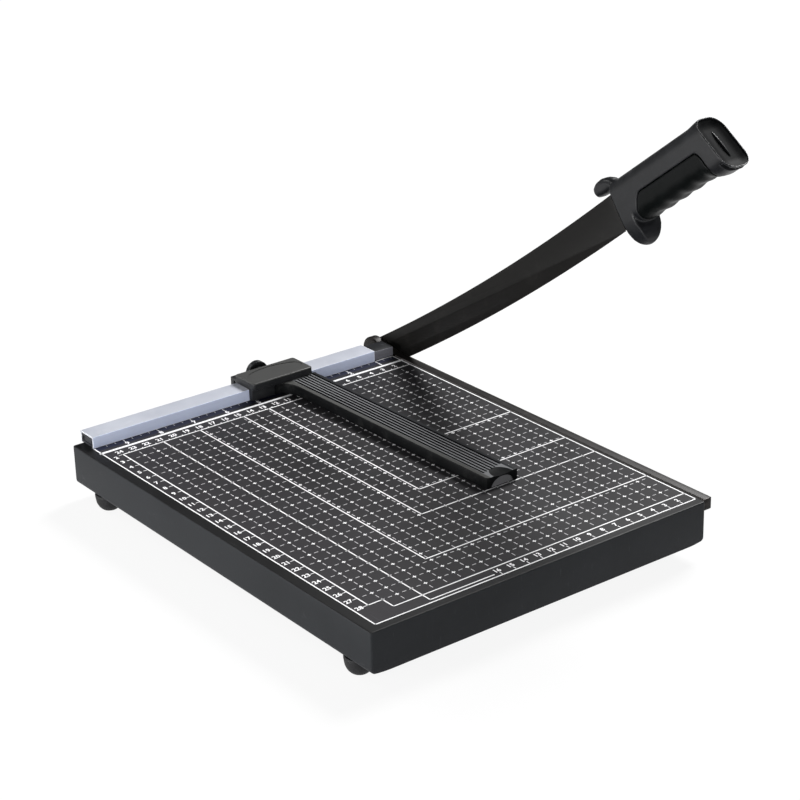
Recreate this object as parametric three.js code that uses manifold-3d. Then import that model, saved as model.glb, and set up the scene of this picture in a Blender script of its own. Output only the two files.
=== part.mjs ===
// Paper cutter: a tray with a ruled top, a fixed blade strip along its right edge,
// a fence with a sliding guide along its back, and a curved blade with a handle that
// turns about a bolt behind the tray. Millimetres, X to the right, Y to the back, Z up.
// Until the last lines X is zero at the cutting plane, Y at the fence line and Z on the
// tray's top. The blade is shown opened, as it stands when nobody is cutting.
import * as THREE from 'three';
import { mergeVertices } from 'three/addons/utils/BufferGeometryUtils.js';
import Module from 'manifold-3d';

const wasm = await Module();
wasm.setup();

// clearances and counts
const overrun = 1;
const seatGap = 0.3;
const runGap = 0.05;
const fitGap = 0.05;
const slideGap = 0.15;
const pivotSides = 36;
const roundSides = 20;
const screwSides = 12;
const hexSides = 6;
const cornerSteps = 4;

// tray
const trayLeft = 256.9;
const trayFront = 306.5;
const trayRear = 13.2;
const trayHeight = 26.4;
const sheet = 1.2;
const trayCorner = 1.5;
const trayBend = 3;
const flangeWidth = 18;
const flangeEndGap = 4;

// fixed blade strip and its ear
const stripThickness = 7.3;
const stripHeight = 8.1;
const stripFront = 304;
const stripChamfer = 1.2;
const toeChamfer = 0.8;
const pivotRear = 27.5;
const pivotDrop = 9.3;
const earRadius = 11.6;
const earTopBlend = 16;
const earUnderBlend = 18;
const earTopTurn = THREE.MathUtils.degToRad(25);
const earUnderTurn = THREE.MathUtils.degToRad(35);

// the small screws
const screwRadius = 1.5;
const screwHeadRadius = 2.75;
const screwHeadHeight = 2;
const screwBite = 5;
const stripScrewDrop = 4.4;
const stripScrewCount = 5;
const stripScrewEnd = 24;
const fenceScrewCount = 3;
const fenceScrewEnd = 24;

// rubber feet
const footRadius = 9.05;
const footHeight = 11.1;
const footSideInset = 9.1;
const footFrontInset = 24.2;
const footRearInset = 26.5;
const footNeckRadius = 2.9;
const footBarbRadius = 3.9;
const footBarbHeight = 2.4;
const footRadiusShares = [0.95, 1, 0.985, 0.93, 0.84, 0.72, 0.57, 0.4];
const footDepthShares = [0, 0.05, 0.25, 0.5, 0.7, 0.85, 0.95, 1];

// fence
const fenceLeft = 249;
const coverRight = 24.5;
const coverFront = 0.1;
const coverRear = 15.7;
const coverHeight = 7.7;
const coverWall = 1;
const barGap = 0.1;
const plugDepth = 6;
const plugRim = 1.4;
const plugRecess = 1;

// guide head
const guideMiddle = 105.3;
const guideWidth = 48;
const slabTop = 13.5;
const slabUnder = 8.2;
const slabFront = 6.4;
const slabRear = 16.6;
const slabCorner = 2;
const headWallFront = 4;
const shelfTop = 10.5;
const shelfUnder = 8.6;
const rearWallThickness = 3.5;
const rearWallBack = 22;
const rearWallFoot = 1;
const boardGap = 0.4;

// guide arm
const armLeft = 97;
const armRight = 73.4;
const armFront = 210.4;
const armTop = 8;
const armWall = 1.8;
const armEndPlate = 2.2;
const armCorner = 2;
const armSkew = 0.0215;
const armFilletOut = 10;
const armFilletAlong = 16;
const armFilletSteps = 6;
const archWidth = 16;
const archHeight = 5.6;
const archShift = 1.4;
const archSteps = 8;
const ribCount = 7;
const ribPitch = 2.68;
const grooveWidth = 1.4;
const grooveDepth = 0.8;
const grooveFirst = 4.05;
const grooveStart = 8;
const grooveEndFar = 206.5;
const grooveEndSlope = 0.43;
const guideScrewRadius = 1.25;
const guideScrewHeadRadius = 2.2;
const guideScrewHeadHeight = 1.6;
const guideScrewHeight = 3.4;
const guideScrewBite = 3;
const guideScrewEnd = 4;

// clamp on the guide
const clampHeight = 6;
const clampScrewRadius = 2.5;
const insertRadius = 3.7;
const shoeWidth = 10;
const shoeThickness = 1.9;
const shoeHeight = 6.6;
const shoeRest = 0.1;
const shoeTop = 8.3;
const shoeTipRadius = 1.8;
const shoeSocket = 1.2;
const knobRadius = 8;
const knobThickness = 4;
const knobBack = 28;
const knobHubRadius = 4.4;
const knobHubLength = 1.6;
const knobEdge = 0.9;
const knobNotches = 12;
const knobNotchRadius = 0.7;
const knobBore = 3;

// pivot
const boltRadius = 4;
const boltClearance = 0.08;
const boltHeadRadius = 7.5;
const boltHeadHeight = 5.3;
const washerRadius = 8;
const washerThickness = 1.2;
const domeRadius = 7.6;
const domeHeight = 1;
const domeThickness = 0.7;
const nutRadius = 7.5;
const nutHeight = 8;
const nutCollarRadius = 5.8;
const nutCollarHeight = 1.8;
const boltTail = 1.5;

// moving blade, along from the pivot and up from it when the blade is closed
const openAngle = THREE.MathUtils.degToRad(30.92);
const bladeThickness = 2;
const bladeLength = 295.5;
const bladeTail = 10.9;
const edgeDrop = 10.6;
const edgeStraight = 40;
const edgeRise = 15;
const spineStraight = 20;
const spineRise = 17.7;
const bladeStations = 14;
const bevelWidth = 3;
const edgeLand = 0.3;

// handle, along from the guard line and up from the middle of the blade's end
const handleTilt = THREE.MathUtils.degToRad(5.7);
const handleSeat = 0.5;
const handleRise = 16.5;
const handleWidth = 20.95;
const handleTop = 18.5;
const handleBottom = 11.5;
const handleRound = 3.2;
const handleSides = 20;
const wavePitch = 14;
const waveDepth = 1;
const waveFirst = 17.5;
const waveSteps = 4;
const waveCount = 5;
const flareStart = 82;
const flareDepth = 2.2;
const flareLength = 14;
const endMiddle = 95.6;
const endSlant = THREE.MathUtils.degToRad(19);
const handleReach = 106.5;
const guardDepth = 22;
const guardLength = 13.6;
const guardAlongShares = [0, 0, 0.06, 0.18, 0.35, 0.55, 0.74, 0.85, 0.92, 0.985, 1];
const guardDepthShares = [0, 0.58, 0.74, 0.87, 0.96, 1, 0.975, 0.89, 0.77, 0.62, 0.4];
const guardFrontSteps = 12;
const hornLeft = 3.5;
const hornWidth = 9;
const hornLength = 18.7;
const hornTop = 25.4;
const hornRoot = 6;
const hornAlongShares = [0.98, 0.22, -0.05, -0.45, -0.73, -0.95, -1, -0.91, -0.74, -0.43, -0.2, -0.01];
const hornHeightShares = [0.73, 0.875, 0.93, 1, 0.985, 0.905, 0.77, 0.64, 0.61, 0.595, 0.605, 0.59];
const gripThickness = 2.2;
const gripTop = 3.9;
const gripEnd = 88;
const gripStart = 14.2;
const gripAlongShares = [0, 0, 0.01, 0.04, 0.085, 0.153, 0.9, 0.96, 1, 1];
const gripDropShares = [1, 0.7, 0.58, 0.37, 0.16, 0, 0, 0.23, 0.54, 1];
const gripRegionDepth = 24;
const gripCoreStart = 10;
const gripCoreEnd = 91;
const capRim = 1.8;
const capPocket = 4.6;
const capRecess = 1.5;
const capRidgeHeight = 0.9;
const capRidgeWidth = 1.6;
const capRidgeShare = 0.62;
const tangThickness = 2;
const tangSkin = 0.7;
const tangNarrow = 1;
const tangTurn = 2.2;
const tangCrank = 12;
const tangOffset = 9.5;
const tangLength = 72;
const tangTop = 13.5;
const tangBottom = 2.5;
const handleScrewHeight = 9.5;
const handleScrewFirst = 34;
const handleScrewPitch = 28;
const handleScrewHeadDepth = 2.2;
const handleScrewEnd = 3.5;

// lengths that follow
const trayRight = stripThickness;
const footCentreLeft = -trayLeft + footSideInset;
const footCentreRight = -trayRight - footSideInset;
const footCentreFront = -trayFront + footFrontInset;
const footCentreRear = trayRear - footRearInset;
const guideLeftSide = -guideMiddle - guideWidth / 2;
const guideRightSide = -guideMiddle + guideWidth / 2;
const barFront = -coverFront + coverWall + barGap;
const barRear = coverRear - coverWall - barGap;
const barTop = coverHeight - coverWall - barGap;
const rearWallFace = rearWallBack - rearWallThickness;
const handleLeftSide = runGap;
const handleMiddle = runGap + handleWidth / 2;
const gripLowest = -handleBottom - flareDepth;
const endHeight = (handleTop + gripLowest) / 2;
const endHalf = (handleTop - gripLowest) / 2 / Math.cos(endSlant);

function solid(geometry) {
  const bare = geometry.clone();
  for (const key of Object.keys(bare.attributes)) {
    if (key !== 'position') {
      bare.deleteAttribute(key);
    }
  }
  const merged = mergeVertices(bare);
  const places = merged.attributes.position.array;
  const corners = merged.index.array;
  const kept = [];
  let volume = 0;
  const at = (i) => new THREE.Vector3().fromArray(places, i * 3);
  for (let i = 0; i < corners.length; i += 3) {
    const [a, b, c] = corners.slice(i, i + 3);
    if (a !== b && b !== c && c !== a) {
      kept.push([a, b, c]);
      volume += at(a).dot(at(b).cross(at(c)));
    }
  }
  const outward = volume > 0 ? kept : kept.map(([a, b, c]) => [a, c, b]);
  const mesh = { numProp: 3, vertProperties: places, triVerts: new Uint32Array(outward.flat()) };
  return new wasm.Manifold(new wasm.Mesh(mesh));
}

const asSolid = (shape) => (shape.isBufferGeometry ? solid(shape) : shape);
const join = (...shapes) => shapes.map(asSolid).reduce((all, shape) => all.add(shape));
const cut = (shape, ...tools) => tools.map(asSolid).reduce(
  (left, tool) => left.subtract(tool),
  asSolid(shape),
);
const common = (shape, other) => asSolid(shape).intersect(asSolid(other));

function block(low, high) {
  const size = high.map((value, i) => value - low[i]);
  const middle = high.map((value, i) => (value + low[i]) / 2);
  return new THREE.BoxGeometry(...size).translate(...middle);
}

// turns a shape that lies along Y so that it lies along the named axis
function alongAxis(geometry, axis) {
  if (axis === 'x') {
    geometry.rotateZ(-Math.PI / 2);
  }
  if (axis === 'z') {
    geometry.rotateX(Math.PI / 2);
  }
  return geometry;
}

function rod(axis, start, end, radius, place, sides) {
  const geometry = new THREE.CylinderGeometry(radius, radius, end - start, sides);
  return alongAxis(geometry.translate(0, (start + end) / 2, 0), axis).translate(...place);
}

// a turned shape: its profile is a closed ring of radius and distance along the axis
function turned(axis, profile, place, sides) {
  const points = profile.map(([radius, along]) => new THREE.Vector2(radius, along));
  return alongAxis(new THREE.LatheGeometry(points, sides), axis).translate(...place);
}

function outline(points) {
  return new THREE.Shape(points.map(([a, b]) => new THREE.Vector2(a, b)));
}

function roundedRectangle(left, front, right, rear, radius) {
  const shape = new THREE.Shape();
  const turn = Math.PI / 2;
  shape.absarc(right - radius, front + radius, radius, -turn, 0);
  shape.absarc(right - radius, rear - radius, radius, 0, turn);
  shape.absarc(left + radius, rear - radius, radius, turn, 2 * turn);
  shape.absarc(left + radius, front + radius, radius, 2 * turn, 3 * turn);
  return shape;
}

function extrude(shape, depth) {
  return new THREE.ExtrudeGeometry(shape, { depth, bevelEnabled: false, curveSegments: cornerSteps });
}

// an outline seen from above, from one height to another
function plate(shape, low, high) {
  return extrude(shape, high - low).translate(0, 0, low);
}

// an outline of Y and Z, from one X to another
function sideways(shape, left, right) {
  const turn = new THREE.Matrix4().makeBasis(
    new THREE.Vector3(0, 1, 0),
    new THREE.Vector3(0, 0, 1),
    new THREE.Vector3(1, 0, 0),
  );
  return extrude(shape, right - left).applyMatrix4(turn).translate(left, 0, 0);
}

// an outline of X and Z, from one Y to another
function lengthways(shape, front, rear) {
  return extrude(shape, rear - front).rotateX(Math.PI / 2).translate(0, rear, 0);
}

// a body through rings of the same number of points, with flat ends
function loft(rings) {
  const sides = rings[0].length;
  const places = rings.flat(2);
  const faces = [];
  for (let i = 0; i + 1 < rings.length; i += 1) {
    for (let k = 0; k < sides; k += 1) {
      const next = (k + 1) % sides;
      const [a, b] = [i * sides + k, i * sides + next];
      faces.push(a, b, b + sides, a, b + sides, a + sides);
    }
  }
  for (const [ring, flip] of [[0, true], [rings.length - 1, false]]) {
    const middle = [0, 1, 2].map((axis) => rings[ring].reduce((sum, p) => sum + p[axis], 0) / sides);
    const hub = places.length / 3;
    places.push(...middle);
    for (let k = 0; k < sides; k += 1) {
      const [a, b] = [ring * sides + k, ring * sides + (k + 1) % sides];
      faces.push(hub, flip ? b : a, flip ? a : b);
    }
  }
  const geometry = new THREE.BufferGeometry();
  geometry.setAttribute('position', new THREE.Float32BufferAttribute(places, 3));
  geometry.setIndex(faces);
  return geometry;
}

function spaced(first, last, count) {
  return Array.from({ length: count }, (_, i) => first + (last - first) * i / (count - 1));
}

function piece(name, shape, color, roughness, metalness) {
  const { vertProperties, triVerts } = asSolid(shape).getMesh();
  const geometry = new THREE.BufferGeometry();
  geometry.setAttribute('position', new THREE.BufferAttribute(vertProperties, 3));
  geometry.setIndex(new THREE.BufferAttribute(triVerts, 1));
  geometry.computeVertexNormals();
  const material = new THREE.MeshStandardMaterial({ color, roughness, metalness, flatShading: true });
  const mesh = new THREE.Mesh(geometry, material);
  mesh.name = name;
  return mesh;
}

const stripScrewPlaces = spaced(-stripFront + stripScrewEnd, trayRear - stripScrewEnd, stripScrewCount);
const fenceScrewPlaces = spaced(-fenceLeft + fenceScrewEnd, -trayRight - fenceScrewEnd, fenceScrewCount);
const fenceScrewLine = (barFront + trayRear - sheet) / 2;
const footPlaces = {
  foot_front_left: [footCentreLeft, footCentreFront],
  foot_front_right: [footCentreRight, footCentreFront],
  foot_rear_left: [footCentreLeft, footCentreRear],
  foot_rear_right: [footCentreRight, footCentreRear],
};

// the tray's section seen from the front: its lower edges are rolled inwards
function traySection(inset) {
  const shape = new THREE.Shape();
  const [left, right, low] = [-trayLeft + inset, -trayRight - inset, -trayHeight + inset];
  const radius = trayBend - inset;
  const turn = Math.PI / 2;
  shape.absarc(left + radius, low + radius, radius, 2 * turn, 3 * turn);
  shape.absarc(right - radius, low + radius, radius, 3 * turn, 4 * turn);
  shape.lineTo(right, -inset);
  shape.lineTo(left, -inset);
  return lengthways(shape, -trayFront, trayRear);
}

// a pressed tray, open below, with a flange along each side that carries the feet
function baseTray() {
  const skin = (inset) => plate(roundedRectangle(
    -trayLeft + inset,
    -trayFront + inset,
    -trayRight - inset,
    trayRear - inset,
    trayCorner - inset,
  ), -trayHeight, 0);
  const shell = cut(common(skin(0), traySection(0)), common(skin(sheet), traySection(sheet)));
  const [front, rear] = [-trayFront + sheet, trayRear - sheet];
  const [low, high] = [-trayHeight - overrun, -trayHeight + sheet + overrun];
  const holes = [
    block([-trayLeft + flangeWidth, front, low], [-trayRight - flangeWidth, rear, high]),
    block([-trayLeft + trayBend, front, low], [-trayRight - trayBend, front + flangeEndGap, high]),
    block([-trayLeft + trayBend, rear - flangeEndGap, low], [-trayRight - trayBend, rear, high]),
  ];
  for (const [x, y] of Object.values(footPlaces)) {
    holes.push(rod('z', low, high, footNeckRadius + fitGap, [x, y, 0], roundSides));
  }
  for (const y of stripScrewPlaces) {
    const place = [0, y, -stripScrewDrop];
    const start = -trayRight - sheet - overrun;
    holes.push(rod('x', start, -trayRight + overrun, screwRadius + fitGap, place, screwSides));
  }
  for (const x of fenceScrewPlaces) {
    holes.push(rod('z', -sheet - overrun, overrun, screwRadius + fitGap, [x, fenceScrewLine, 0], screwSides));
  }
  return cut(shell, ...holes);
}

// the fixed blade: a square steel strip whose rear end is an ear for the pivot bolt
function fixedBlade() {
  const strip = sideways(outline([
    [-stripFront, 0],
    [-stripFront, -stripHeight + toeChamfer],
    [-stripFront + toeChamfer, -stripHeight],
    [trayRear, -stripHeight],
    [trayRear, 0],
  ]), -stripThickness, 0);
  const neck = sideways(outline([
    [trayRear + overrun - earTopBlend, 0],
    [trayRear + overrun - earUnderBlend, -stripHeight],
    [trayRear, -stripHeight],
    [pivotRear - earRadius * Math.cos(earUnderTurn), -pivotDrop - earRadius * Math.sin(earUnderTurn)],
    [pivotRear, -pivotDrop],
    [pivotRear - earRadius * Math.sin(earTopTurn), -pivotDrop + earRadius * Math.cos(earTopTurn)],
  ]), -stripThickness, 0);
  const ear = rod('x', -stripThickness, 0, earRadius, [0, pivotRear, -pivotDrop], pivotSides);
  const chamfer = lengthways(outline([
    [-stripThickness - overrun, overrun],
    [-stripThickness - overrun, -stripChamfer - overrun],
    [-stripThickness + stripChamfer + overrun, overrun],
  ]), -stripFront - overrun, trayRear + overrun - earTopBlend);
  const bore = rod(
    'x',
    -stripThickness - overrun,
    overrun,
    boltRadius + fitGap,
    [0, pivotRear, -pivotDrop],
    pivotSides,
  );
  const taps = stripScrewPlaces.map((y) => rod(
    'x',
    -stripThickness - overrun,
    -stripThickness + screwBite + fitGap,
    screwRadius + fitGap,
    [0, y, -stripScrewDrop],
    screwSides,
  ));
  return cut(join(strip, neck, ear), chamfer, bore, ...taps);
}

function stripScrew(y) {
  const seat = -stripThickness - sheet;
  const place = [0, y, -stripScrewDrop];
  return join(
    rod('x', seat - screwHeadHeight, seat, screwHeadRadius, place, screwSides),
    rod('x', seat - screwHeadHeight / 2, -stripThickness + screwBite, screwRadius, place, screwSides),
  );
}

// a domed rubber foot with a neck through the flange and a barb above it
function rubberFoot([x, y]) {
  const profile = [[0, footBarbHeight + sheet + fitGap]];
  profile.push([footNeckRadius, footBarbHeight + sheet + fitGap]);
  profile.push([footBarbRadius, sheet + footBarbHeight / 2]);
  profile.push([footBarbRadius, sheet + fitGap]);
  profile.push([footNeckRadius, sheet + fitGap]);
  profile.push([footNeckRadius, 0]);
  footRadiusShares.forEach((share, i) => {
    profile.push([footRadius * share, -footHeight * footDepthShares[i]]);
  });
  profile.push([0, -footHeight]);
  return turned('z', profile, [x, y, -trayHeight], roundSides);
}

function fenceBar() {
  const left = -fenceLeft + plugDepth + seatGap;
  const bar = block([left, barFront, 0], [-trayRight - seatGap, barRear, barTop]);
  const taps = fenceScrewPlaces.map((x) => rod(
    'z',
    -overrun,
    screwBite + fitGap,
    screwRadius + fitGap,
    [x, fenceScrewLine, 0],
    screwSides,
  ));
  return cut(bar, ...taps);
}

function fenceScrew(x) {
  const place = [x, fenceScrewLine, 0];
  return join(
    rod('z', -sheet - screwHeadHeight, -sheet, screwHeadRadius, place, screwSides),
    rod('z', -sheet - screwHeadHeight / 2, screwBite, screwRadius, place, screwSides),
  );
}

function fenceCover() {
  const outer = block([-fenceLeft, -coverFront, 0], [-coverRight, coverRear, coverHeight]);
  const inner = block(
    [-fenceLeft - overrun, -coverFront + coverWall, -overrun],
    [-coverRight + overrun, coverRear - coverWall, coverHeight - coverWall],
  );
  return cut(outer, inner);
}

// the plug fills the cover's left end; its outer face is hollowed inside a rim
function fenceEndPlug() {
  const body = block([-fenceLeft, barFront, 0], [-fenceLeft + plugDepth, barRear, barTop]);
  const hollow = block(
    [-fenceLeft - overrun, barFront + plugRim, plugRim],
    [-fenceLeft + plugRecess, barRear - plugRim, barTop - plugRim],
  );
  return cut(body, hollow);
}

// the arm leans a little: its sides move to the left towards the back
const armLean = (y) => -armSkew * (y + armFront);
const armRearLeft = -armLeft + armLean(-headWallFront);
const guideScrewPlaces = [armRearLeft + armWall + guideScrewEnd, guideRightSide - guideScrewEnd];

// the block that rides on the fence: a slab on top, a wall before it and one behind it
function guideHead() {
  const slabShape = roundedRectangle(guideLeftSide, -slabFront, guideRightSide, slabRear, slabCorner);
  const slab = plate(slabShape, slabUnder, slabTop);
  const under = coverHeight + slideGap;
  const body = join(
    slab,
    block([guideLeftSide, -headWallFront, under], [guideRightSide, slabRear, (slabUnder + slabTop) / 2]),
    block(
      [guideLeftSide, -headWallFront, boardGap],
      [guideRightSide, -coverFront - slideGap, slabUnder + overrun],
    ),
    block([guideLeftSide, coverRear, shelfUnder], [guideRightSide, rearWallBack, shelfTop]),
    block([guideLeftSide, rearWallFace, -rearWallFoot], [guideRightSide, rearWallBack, shelfTop]),
  );
  const bore = rod(
    'y',
    rearWallFace - overrun,
    rearWallBack + overrun,
    insertRadius + fitGap,
    [-guideMiddle, 0, clampHeight],
    roundSides,
  );
  const pocket = block(
    [guideLeftSide - overrun, coverRear, coverHeight - coverWall],
    [guideRightSide + overrun, rearWallFace, shelfUnder],
  );
  const taps = guideScrewPlaces.map((x) => rod(
    'y',
    -headWallFront - overrun,
    -headWallFront + guideScrewBite + fitGap,
    guideScrewRadius + fitGap,
    [x, 0, guideScrewHeight],
    screwSides,
  ));
  return cut(body, pocket, bore, ...taps);
}

// the arm: a long channel, open below, grooved on top, with an arch in its front wall
function guideArm() {
  const rear = -headWallFront;
  const edge = [];
  for (let i = 0; i <= armFilletSteps; i += 1) {
    const turn = Math.PI / 2 * i / armFilletSteps;
    const y = rear - armFilletAlong + armFilletAlong * Math.cos(turn);
    edge.push([-armLeft + armLean(y) - armFilletOut + armFilletOut * Math.sin(turn), y]);
  }
  const shape = outline([
    ...edge,
    [-armLeft, -armFront + armCorner],
    [-armLeft + armCorner, -armFront],
    [-armRight, -armFront],
    [-armRight + armLean(rear), rear],
  ]);
  const leaning = (left, right, front, back) => outline([
    [left + armLean(front), front],
    [right + armLean(front), front],
    [right + armLean(back), back],
    [left + armLean(back), back],
  ]);
  const channel = plate(
    leaning(-armLeft + armWall, -armRight - armWall, -armFront + armWall, rear - armEndPlate),
    boardGap - overrun,
    armTop - armWall,
  );
  const archMiddle = -(armLeft + armRight) / 2 + archShift;
  const arch = [];
  for (let i = 0; i <= archSteps; i += 1) {
    const turn = Math.PI * i / archSteps;
    arch.push([archMiddle + archWidth / 2 * Math.cos(turn), boardGap + archHeight * Math.sin(turn)]);
  }
  const grooves = [];
  for (let i = 0; i < ribCount; i += 1) {
    const middle = grooveFirst + ribPitch * i;
    const front = -grooveEndFar + grooveEndSlope * middle;
    const [left, right] = [-armLeft + middle - grooveWidth / 2, -armLeft + middle + grooveWidth / 2];
    grooves.push(plate(leaning(left, right, front, -grooveStart), armTop - grooveDepth, armTop + overrun));
  }
  const holes = guideScrewPlaces.map((x) => rod(
    'y',
    rear - armEndPlate - overrun,
    rear + overrun,
    guideScrewRadius + fitGap,
    [x, 0, guideScrewHeight],
    screwSides,
  ));
  const mouth = lengthways(outline([
    ...arch,
    [archMiddle - archWidth / 2, boardGap - overrun],
    [archMiddle + archWidth / 2, boardGap - overrun],
  ]), -armFront - overrun, -armFront + armWall + overrun);
  return cut(plate(shape, boardGap, armTop), channel, mouth, ...grooves, ...holes);
}

function guideScrew(x) {
  const seat = -headWallFront - armEndPlate;
  const tip = -headWallFront + guideScrewBite;
  const place = [x, 0, guideScrewHeight];
  return join(
    rod('y', seat - guideScrewHeadHeight, seat, guideScrewHeadRadius, place, screwSides),
    rod('y', seat - guideScrewHeadHeight / 2, tip, guideScrewRadius, place, screwSides),
  );
}

const clampPlace = [-guideMiddle, 0, clampHeight];

function clampInsert() {
  const sleeve = rod('y', rearWallFace, rearWallBack, insertRadius, clampPlace, roundSides);
  const bore = rod(
    'y',
    rearWallFace - overrun,
    rearWallBack + overrun,
    clampScrewRadius + fitGap,
    clampPlace,
    roundSides,
  );
  return cut(sleeve, bore);
}

const shoeBack = coverRear + shoeRest + shoeThickness;

function clampShoe() {
  const shoe = block(
    [-guideMiddle - shoeWidth / 2, coverRear + shoeRest, shoeTop - shoeHeight],
    [-guideMiddle + shoeWidth / 2, shoeBack, shoeTop],
  );
  const socket = rod(
    'y',
    shoeBack - shoeSocket,
    shoeBack + overrun,
    shoeTipRadius + fitGap,
    clampPlace,
    roundSides,
  );
  return cut(shoe, socket);
}

// the clamp screw: a thin tip in the shoe, a thread through the insert, and the knob on its end
function clampScrew() {
  const tip = rod(
    'y',
    shoeBack - shoeSocket + fitGap,
    rearWallFace,
    shoeTipRadius,
    clampPlace,
    roundSides,
  );
  const shank = rod('y', shoeBack + slideGap, knobBack - knobBore, clampScrewRadius, clampPlace, roundSides);
  return join(tip, shank);
}

function clampKnob() {
  const disc = turned('y', [
    [0, knobBack],
    [knobRadius - knobEdge, knobBack],
    [knobRadius, knobBack - knobEdge],
    [knobRadius, knobBack - knobThickness + knobEdge],
    [knobRadius - knobEdge, knobBack - knobThickness],
    [knobHubRadius, knobBack - knobThickness],
    [knobHubRadius, knobBack - knobThickness - knobHubLength],
    [0, knobBack - knobThickness - knobHubLength],
  ], clampPlace, knobNotches * 2);
  const notches = Array.from({ length: knobNotches }, (_, i) => {
    const turn = 2 * Math.PI * (i + 0.5) / knobNotches;
    const x = -guideMiddle + knobRadius * Math.cos(turn);
    const z = clampHeight + knobRadius * Math.sin(turn);
    const start = knobBack - knobThickness - overrun;
    return rod('y', start, knobBack + overrun, knobNotchRadius, [x, 0, z], hexSides);
  });
  const bore = rod(
    'y',
    knobBack - knobThickness - knobHubLength - overrun,
    knobBack - knobBore + fitGap,
    clampScrewRadius + fitGap,
    clampPlace,
    roundSides,
  );
  return cut(disc, bore, ...notches);
}

// the pivot parts lie along X at the bolt: the head left of the ear, the rest right of the blade
const pivotPlace = [0, pivotRear, -pivotDrop];
const firstWasher = runGap + bladeThickness + runGap;
const firstDome = firstWasher + washerThickness + fitGap;
const secondDome = firstDome + domeHeight + domeThickness + fitGap;
const secondWasher = secondDome + domeHeight + domeThickness + fitGap;
const nutSeat = secondWasher + washerThickness + fitGap;
const boltEnd = nutSeat + nutHeight + nutCollarHeight + boltTail;
const washerBore = boltRadius + boltClearance;

function pivotBolt() {
  const seat = -stripThickness;
  return join(
    rod('x', seat - boltHeadHeight, seat, boltHeadRadius, pivotPlace, hexSides),
    rod('x', seat - boltHeadHeight / 2, boltEnd, boltRadius, pivotPlace, pivotSides),
  );
}

function pivotWasher(start) {
  const end = start + washerThickness;
  const disc = rod('x', start, end, washerRadius, pivotPlace, pivotSides);
  return cut(disc, rod('x', start - overrun, end + overrun, washerBore, pivotPlace, pivotSides));
}

// a domed washer from the place of its bore's left edge to that of its rim's left edge
function springWasher(boreStart, rimStart) {
  return turned('x', [
    [washerBore, boreStart],
    [domeRadius, rimStart],
    [domeRadius, rimStart + domeThickness],
    [washerBore, boreStart + domeThickness],
    [washerBore, boreStart],
  ], pivotPlace, pivotSides);
}

function pivotLockNut() {
  const nut = rod('x', nutSeat, nutSeat + nutHeight, nutRadius, pivotPlace, hexSides);
  const collarEnd = nutSeat + nutHeight + nutCollarHeight;
  const collar = rod('x', nutSeat + nutHeight / 2, collarEnd, nutCollarRadius, pivotPlace, roundSides);
  return cut(
    join(nut, collar),
    rod('x', nutSeat - overrun, collarEnd + overrun, washerBore, pivotPlace, pivotSides),
  );
}

const toHandle = new THREE.Matrix4()
  .makeTranslation(0, -bladeLength - handleSeat, handleRise)
  .multiply(new THREE.Matrix4().makeRotationX(-handleTilt));

const handleScrewPlaces = [handleScrewFirst, handleScrewFirst + handleScrewPitch];

// the tang steps back under the handle's skin, then cranks to the handle's middle;
// a gap of zero gives the tang and a larger one its slot
function tangBody(gap) {
  const left = handleLeftSide + tangSkin + seatGap;
  const middle = handleLeftSide + tangOffset;
  const back = -seatGap * 2 - overrun;
  const shape = outline([
    [left - gap, -back],
    [left - gap, -tangTurn - gap],
    [middle - gap, -tangCrank - gap],
    [middle - gap, -tangLength - gap],
    [middle + tangThickness + gap, -tangLength - gap],
    [middle + tangThickness + gap, -tangCrank + gap],
    [left + tangNarrow + gap, -tangTurn + gap],
    [left + tangNarrow + gap, -back],
  ]);
  return plate(shape, -tangBottom - gap, tangTop + gap);
}

// the moving blade: hollow-curved edge, bowed spine, bevel on the right and a round tail
function movingBlade() {
  const [left, right] = [runGap, runGap + bladeThickness];
  const rings = [];
  const reach = bladeLength + handleSeat + bladeTail;
  for (let i = 0; i < bladeStations; i += 1) {
    const along = reach * i / (bladeStations - 1);
    const edgeShare = Math.max(0, along - edgeStraight) / (bladeLength - edgeStraight);
    const spineShare = Math.max(0, along - spineStraight) / (bladeLength - spineStraight);
    const edge = -edgeDrop + edgeRise * edgeShare ** 2;
    const spine = bladeTail + spineRise * spineShare ** 2;
    rings.push([
      [left, -along, edge],
      [left + edgeLand, -along, edge],
      [right, -along, edge + bevelWidth],
      [right, -along, spine],
      [left, -along, spine],
    ]);
  }
  const tail = rod('x', left, right, bladeTail, [0, 0, 0], pivotSides);
  const guardSide = block(
    [-overrun, -bladeLength, -bladeLength],
    [handleWidth, seatGap, bladeLength],
  ).applyMatrix4(toHandle);
  const tang = cut(
    tangBody(0).applyMatrix4(toHandle),
    ...handleScrewPlaces.map((along) => rod(
      'x',
      0,
      handleWidth,
      screwRadius + seatGap,
      [0, -along, handleScrewHeight],
      screwSides,
    ).applyMatrix4(toHandle)),
  );
  const bore = rod('x', left - overrun, right + overrun, washerBore, [0, 0, 0], pivotSides);
  return cut(join(cut(join(loft(rings), tail), guardSide), tang), bore);
}

// one ring of the handle, drawn in all round by an inset
function handleRing(along, inset) {
  const wave = along > waveFirst - wavePitch / 2 && along < waveFirst + wavePitch * (waveCount - 0.5);
  const swell = wave ? waveDepth / 2 * (1 + Math.cos(2 * Math.PI * (along - waveFirst) / wavePitch)) : 0;
  const flareShare = Math.min(1, Math.max(0, along - flareStart) / flareLength);
  const low = -handleBottom + waveDepth / 2 - swell - flareDepth * flareShare ** 2;
  const [halfWidth, halfHeight] = [handleWidth / 2 - inset, (handleTop - low) / 2 - inset];
  const round = (value) => Math.sign(value) * Math.abs(value) ** (2 / handleRound);
  return Array.from({ length: handleSides }, (_, k) => {
    const turn = 2 * Math.PI * (k + 0.5) / handleSides;
    return [
      handleMiddle + halfWidth * round(Math.cos(turn)),
      -along,
      (handleTop + low) / 2 + halfHeight * round(Math.sin(turn)),
    ];
  });
}

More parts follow.
